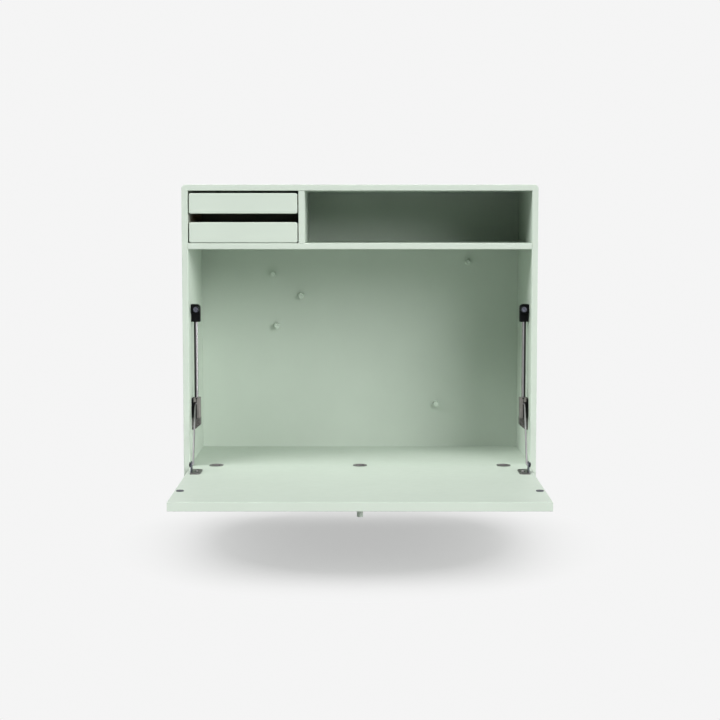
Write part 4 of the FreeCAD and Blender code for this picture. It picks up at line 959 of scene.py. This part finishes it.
def shown(tree):
    """One for rays that show a thing as it is, straight, mirrored or through glass, and zero for light."""
    path = node(tree, "ShaderNodeLightPath")
    total = path.outputs["Is Camera Ray"]
    for kind in ("Is Transmission Ray", "Is Glossy Ray"):
        either = node(tree, "ShaderNodeMath", operation="MAXIMUM")
        tree.links.new(total, either.inputs[0])
        tree.links.new(path.outputs[kind], either.inputs[1])
        total = either.outputs["Value"]
    return total


def ground():
    """A pale floor that keeps the soft shadow and runs into the background further out."""
    material, tree, shader = finish_of("pale_floor", FLOOR_COLOUR, 0.9, specular=0.0)
    place = node(tree, "ShaderNodeTexCoord")
    oval = node(tree, "ShaderNodeVectorMath", operation="MULTIPLY")
    oval.inputs[1].default_value = FLOOR_OVAL
    length = node(tree, "ShaderNodeVectorMath", operation="LENGTH")
    tree.links.new(place.outputs["Object"], oval.inputs[0])
    tree.links.new(oval.outputs["Vector"], length.inputs[0])
    straight = shown(tree)
    colour = tint(tree, straight, FLOOR_BOUNCE, FLOOR_COLOUR, 0.0, 1.0)
    tree.links.new(colour, shader.inputs["Base Color"])
    # The background's glow mixed in under the desk is painted light in the shadow
    fade = spread(tree, length.outputs["Value"], FLOOR_VEIL, 1.0, *FLOOR_FADE)
    seen = node(tree, "ShaderNodeMath", operation="MULTIPLY")
    tree.links.new(fade, seen.inputs[0])
    tree.links.new(straight, seen.inputs[1])
    glow = node(tree, "ShaderNodeEmission", Color=BACKGROUND, Strength=1.0)
    mix = node(tree, "ShaderNodeMixShader")
    tree.links.new(seen.outputs["Value"], mix.inputs["Fac"])
    tree.links.new(shader.outputs["BSDF"], mix.inputs[1])
    tree.links.new(glow.outputs["Emission"], mix.inputs[2])
    tree.links.new(mix.outputs["Shader"], tree.nodes["Material Output"].inputs["Surface"])
    return material


def make_floor():
    """The floor under the desk, which isn't part of it."""
    mesh = bmesh.new()
    bmesh.ops.create_grid(mesh, x_segments=1, y_segments=1, size=FLOOR_HALF)
    data = bpy.data.meshes.new("floor")
    mesh.to_mesh(data)
    mesh.free()
    floor = bpy.data.objects.new("floor", data)
    bpy.context.scene.collection.objects.link(floor)
    floor.location = (0.0, FLOOR_MIDDLE, FLOOR_LEVEL)
    data.materials.append(ground())
    return floor


def make_world():
    """A faint even light from all round, behind a plain background."""
    world = bpy.data.worlds.new("studio")
    bpy.context.scene.world = world
    world.use_nodes = True
    tree = world.node_tree
    tree.nodes.clear()
    light = node(tree, "ShaderNodeBackground", Color=WHITE, Strength=ROOM_LIGHT)
    plain = node(tree, "ShaderNodeBackground", Color=BACKGROUND, Strength=1.0)
    mix = node(tree, "ShaderNodeMixShader")
    output = node(tree, "ShaderNodeOutputWorld")
    tree.links.new(shown(tree), mix.inputs["Fac"])
    tree.links.new(light.outputs["Background"], mix.inputs[1])
    tree.links.new(plain.outputs["Background"], mix.inputs[2])
    tree.links.new(mix.outputs["Shader"], output.inputs["Surface"])


def make_sun(name, azimuth, elevation, angle, strength):
    """A soft far lamp. Azimuth 0 shines from the front, and positive turns to the right."""
    data = bpy.data.lights.new(name, "SUN")
    data.energy = strength
    data.angle = math.radians(angle)
    lamp = bpy.data.objects.new(name, data)
    bpy.context.scene.collection.objects.link(lamp)
    turn = Euler((math.radians(90 - elevation), 0.0, math.radians(azimuth)), "XYZ")
    lamp.rotation_euler = turn
    lamp.location = turn.to_matrix() @ Vector((0.0, 0.0, LAMP_DISTANCE))
    return lamp


def direct(lamp, lit, floor):
    """Lets a lamp light the carcass alone, the floor alone, or for "desk" all but the floor."""
    reach = bpy.data.collections.new(lamp.name + "_reach")
    for item in riders["carcass"] if lit == "carcass" else [floor]:
        reach.objects.link(item)
    for link in reach.collection_objects:
        link.light_linking.link_state = "EXCLUDE" if lit == "desk" else "INCLUDE"
    lamp.light_linking.receiver_collection = reach


def make_camera():
    """The camera in front of the desk, near the level of its top and looking slightly down."""
    data = bpy.data.cameras.new("camera")
    data.sensor_width = CAMERA_SENSOR
    data.lens = CAMERA_LENS
    data.clip_end = CAMERA_SIGHT
    camera = bpy.data.objects.new("camera", data)
    bpy.context.scene.collection.objects.link(camera)
    camera.location = CAMERA_PLACE
    camera.rotation_euler = (math.radians(90.0) - CAMERA_TILT, 0.0, 0.0)
    bpy.context.scene.camera = camera


floor = make_floor()
make_world()
for name, azimuth, elevation, angle, strength, lit in LAMPS:
    direct(make_sun(name, azimuth, elevation, angle, strength), lit, floor)
make_camera()
bpy.context.scene.view_settings.view_transform = "Standard"
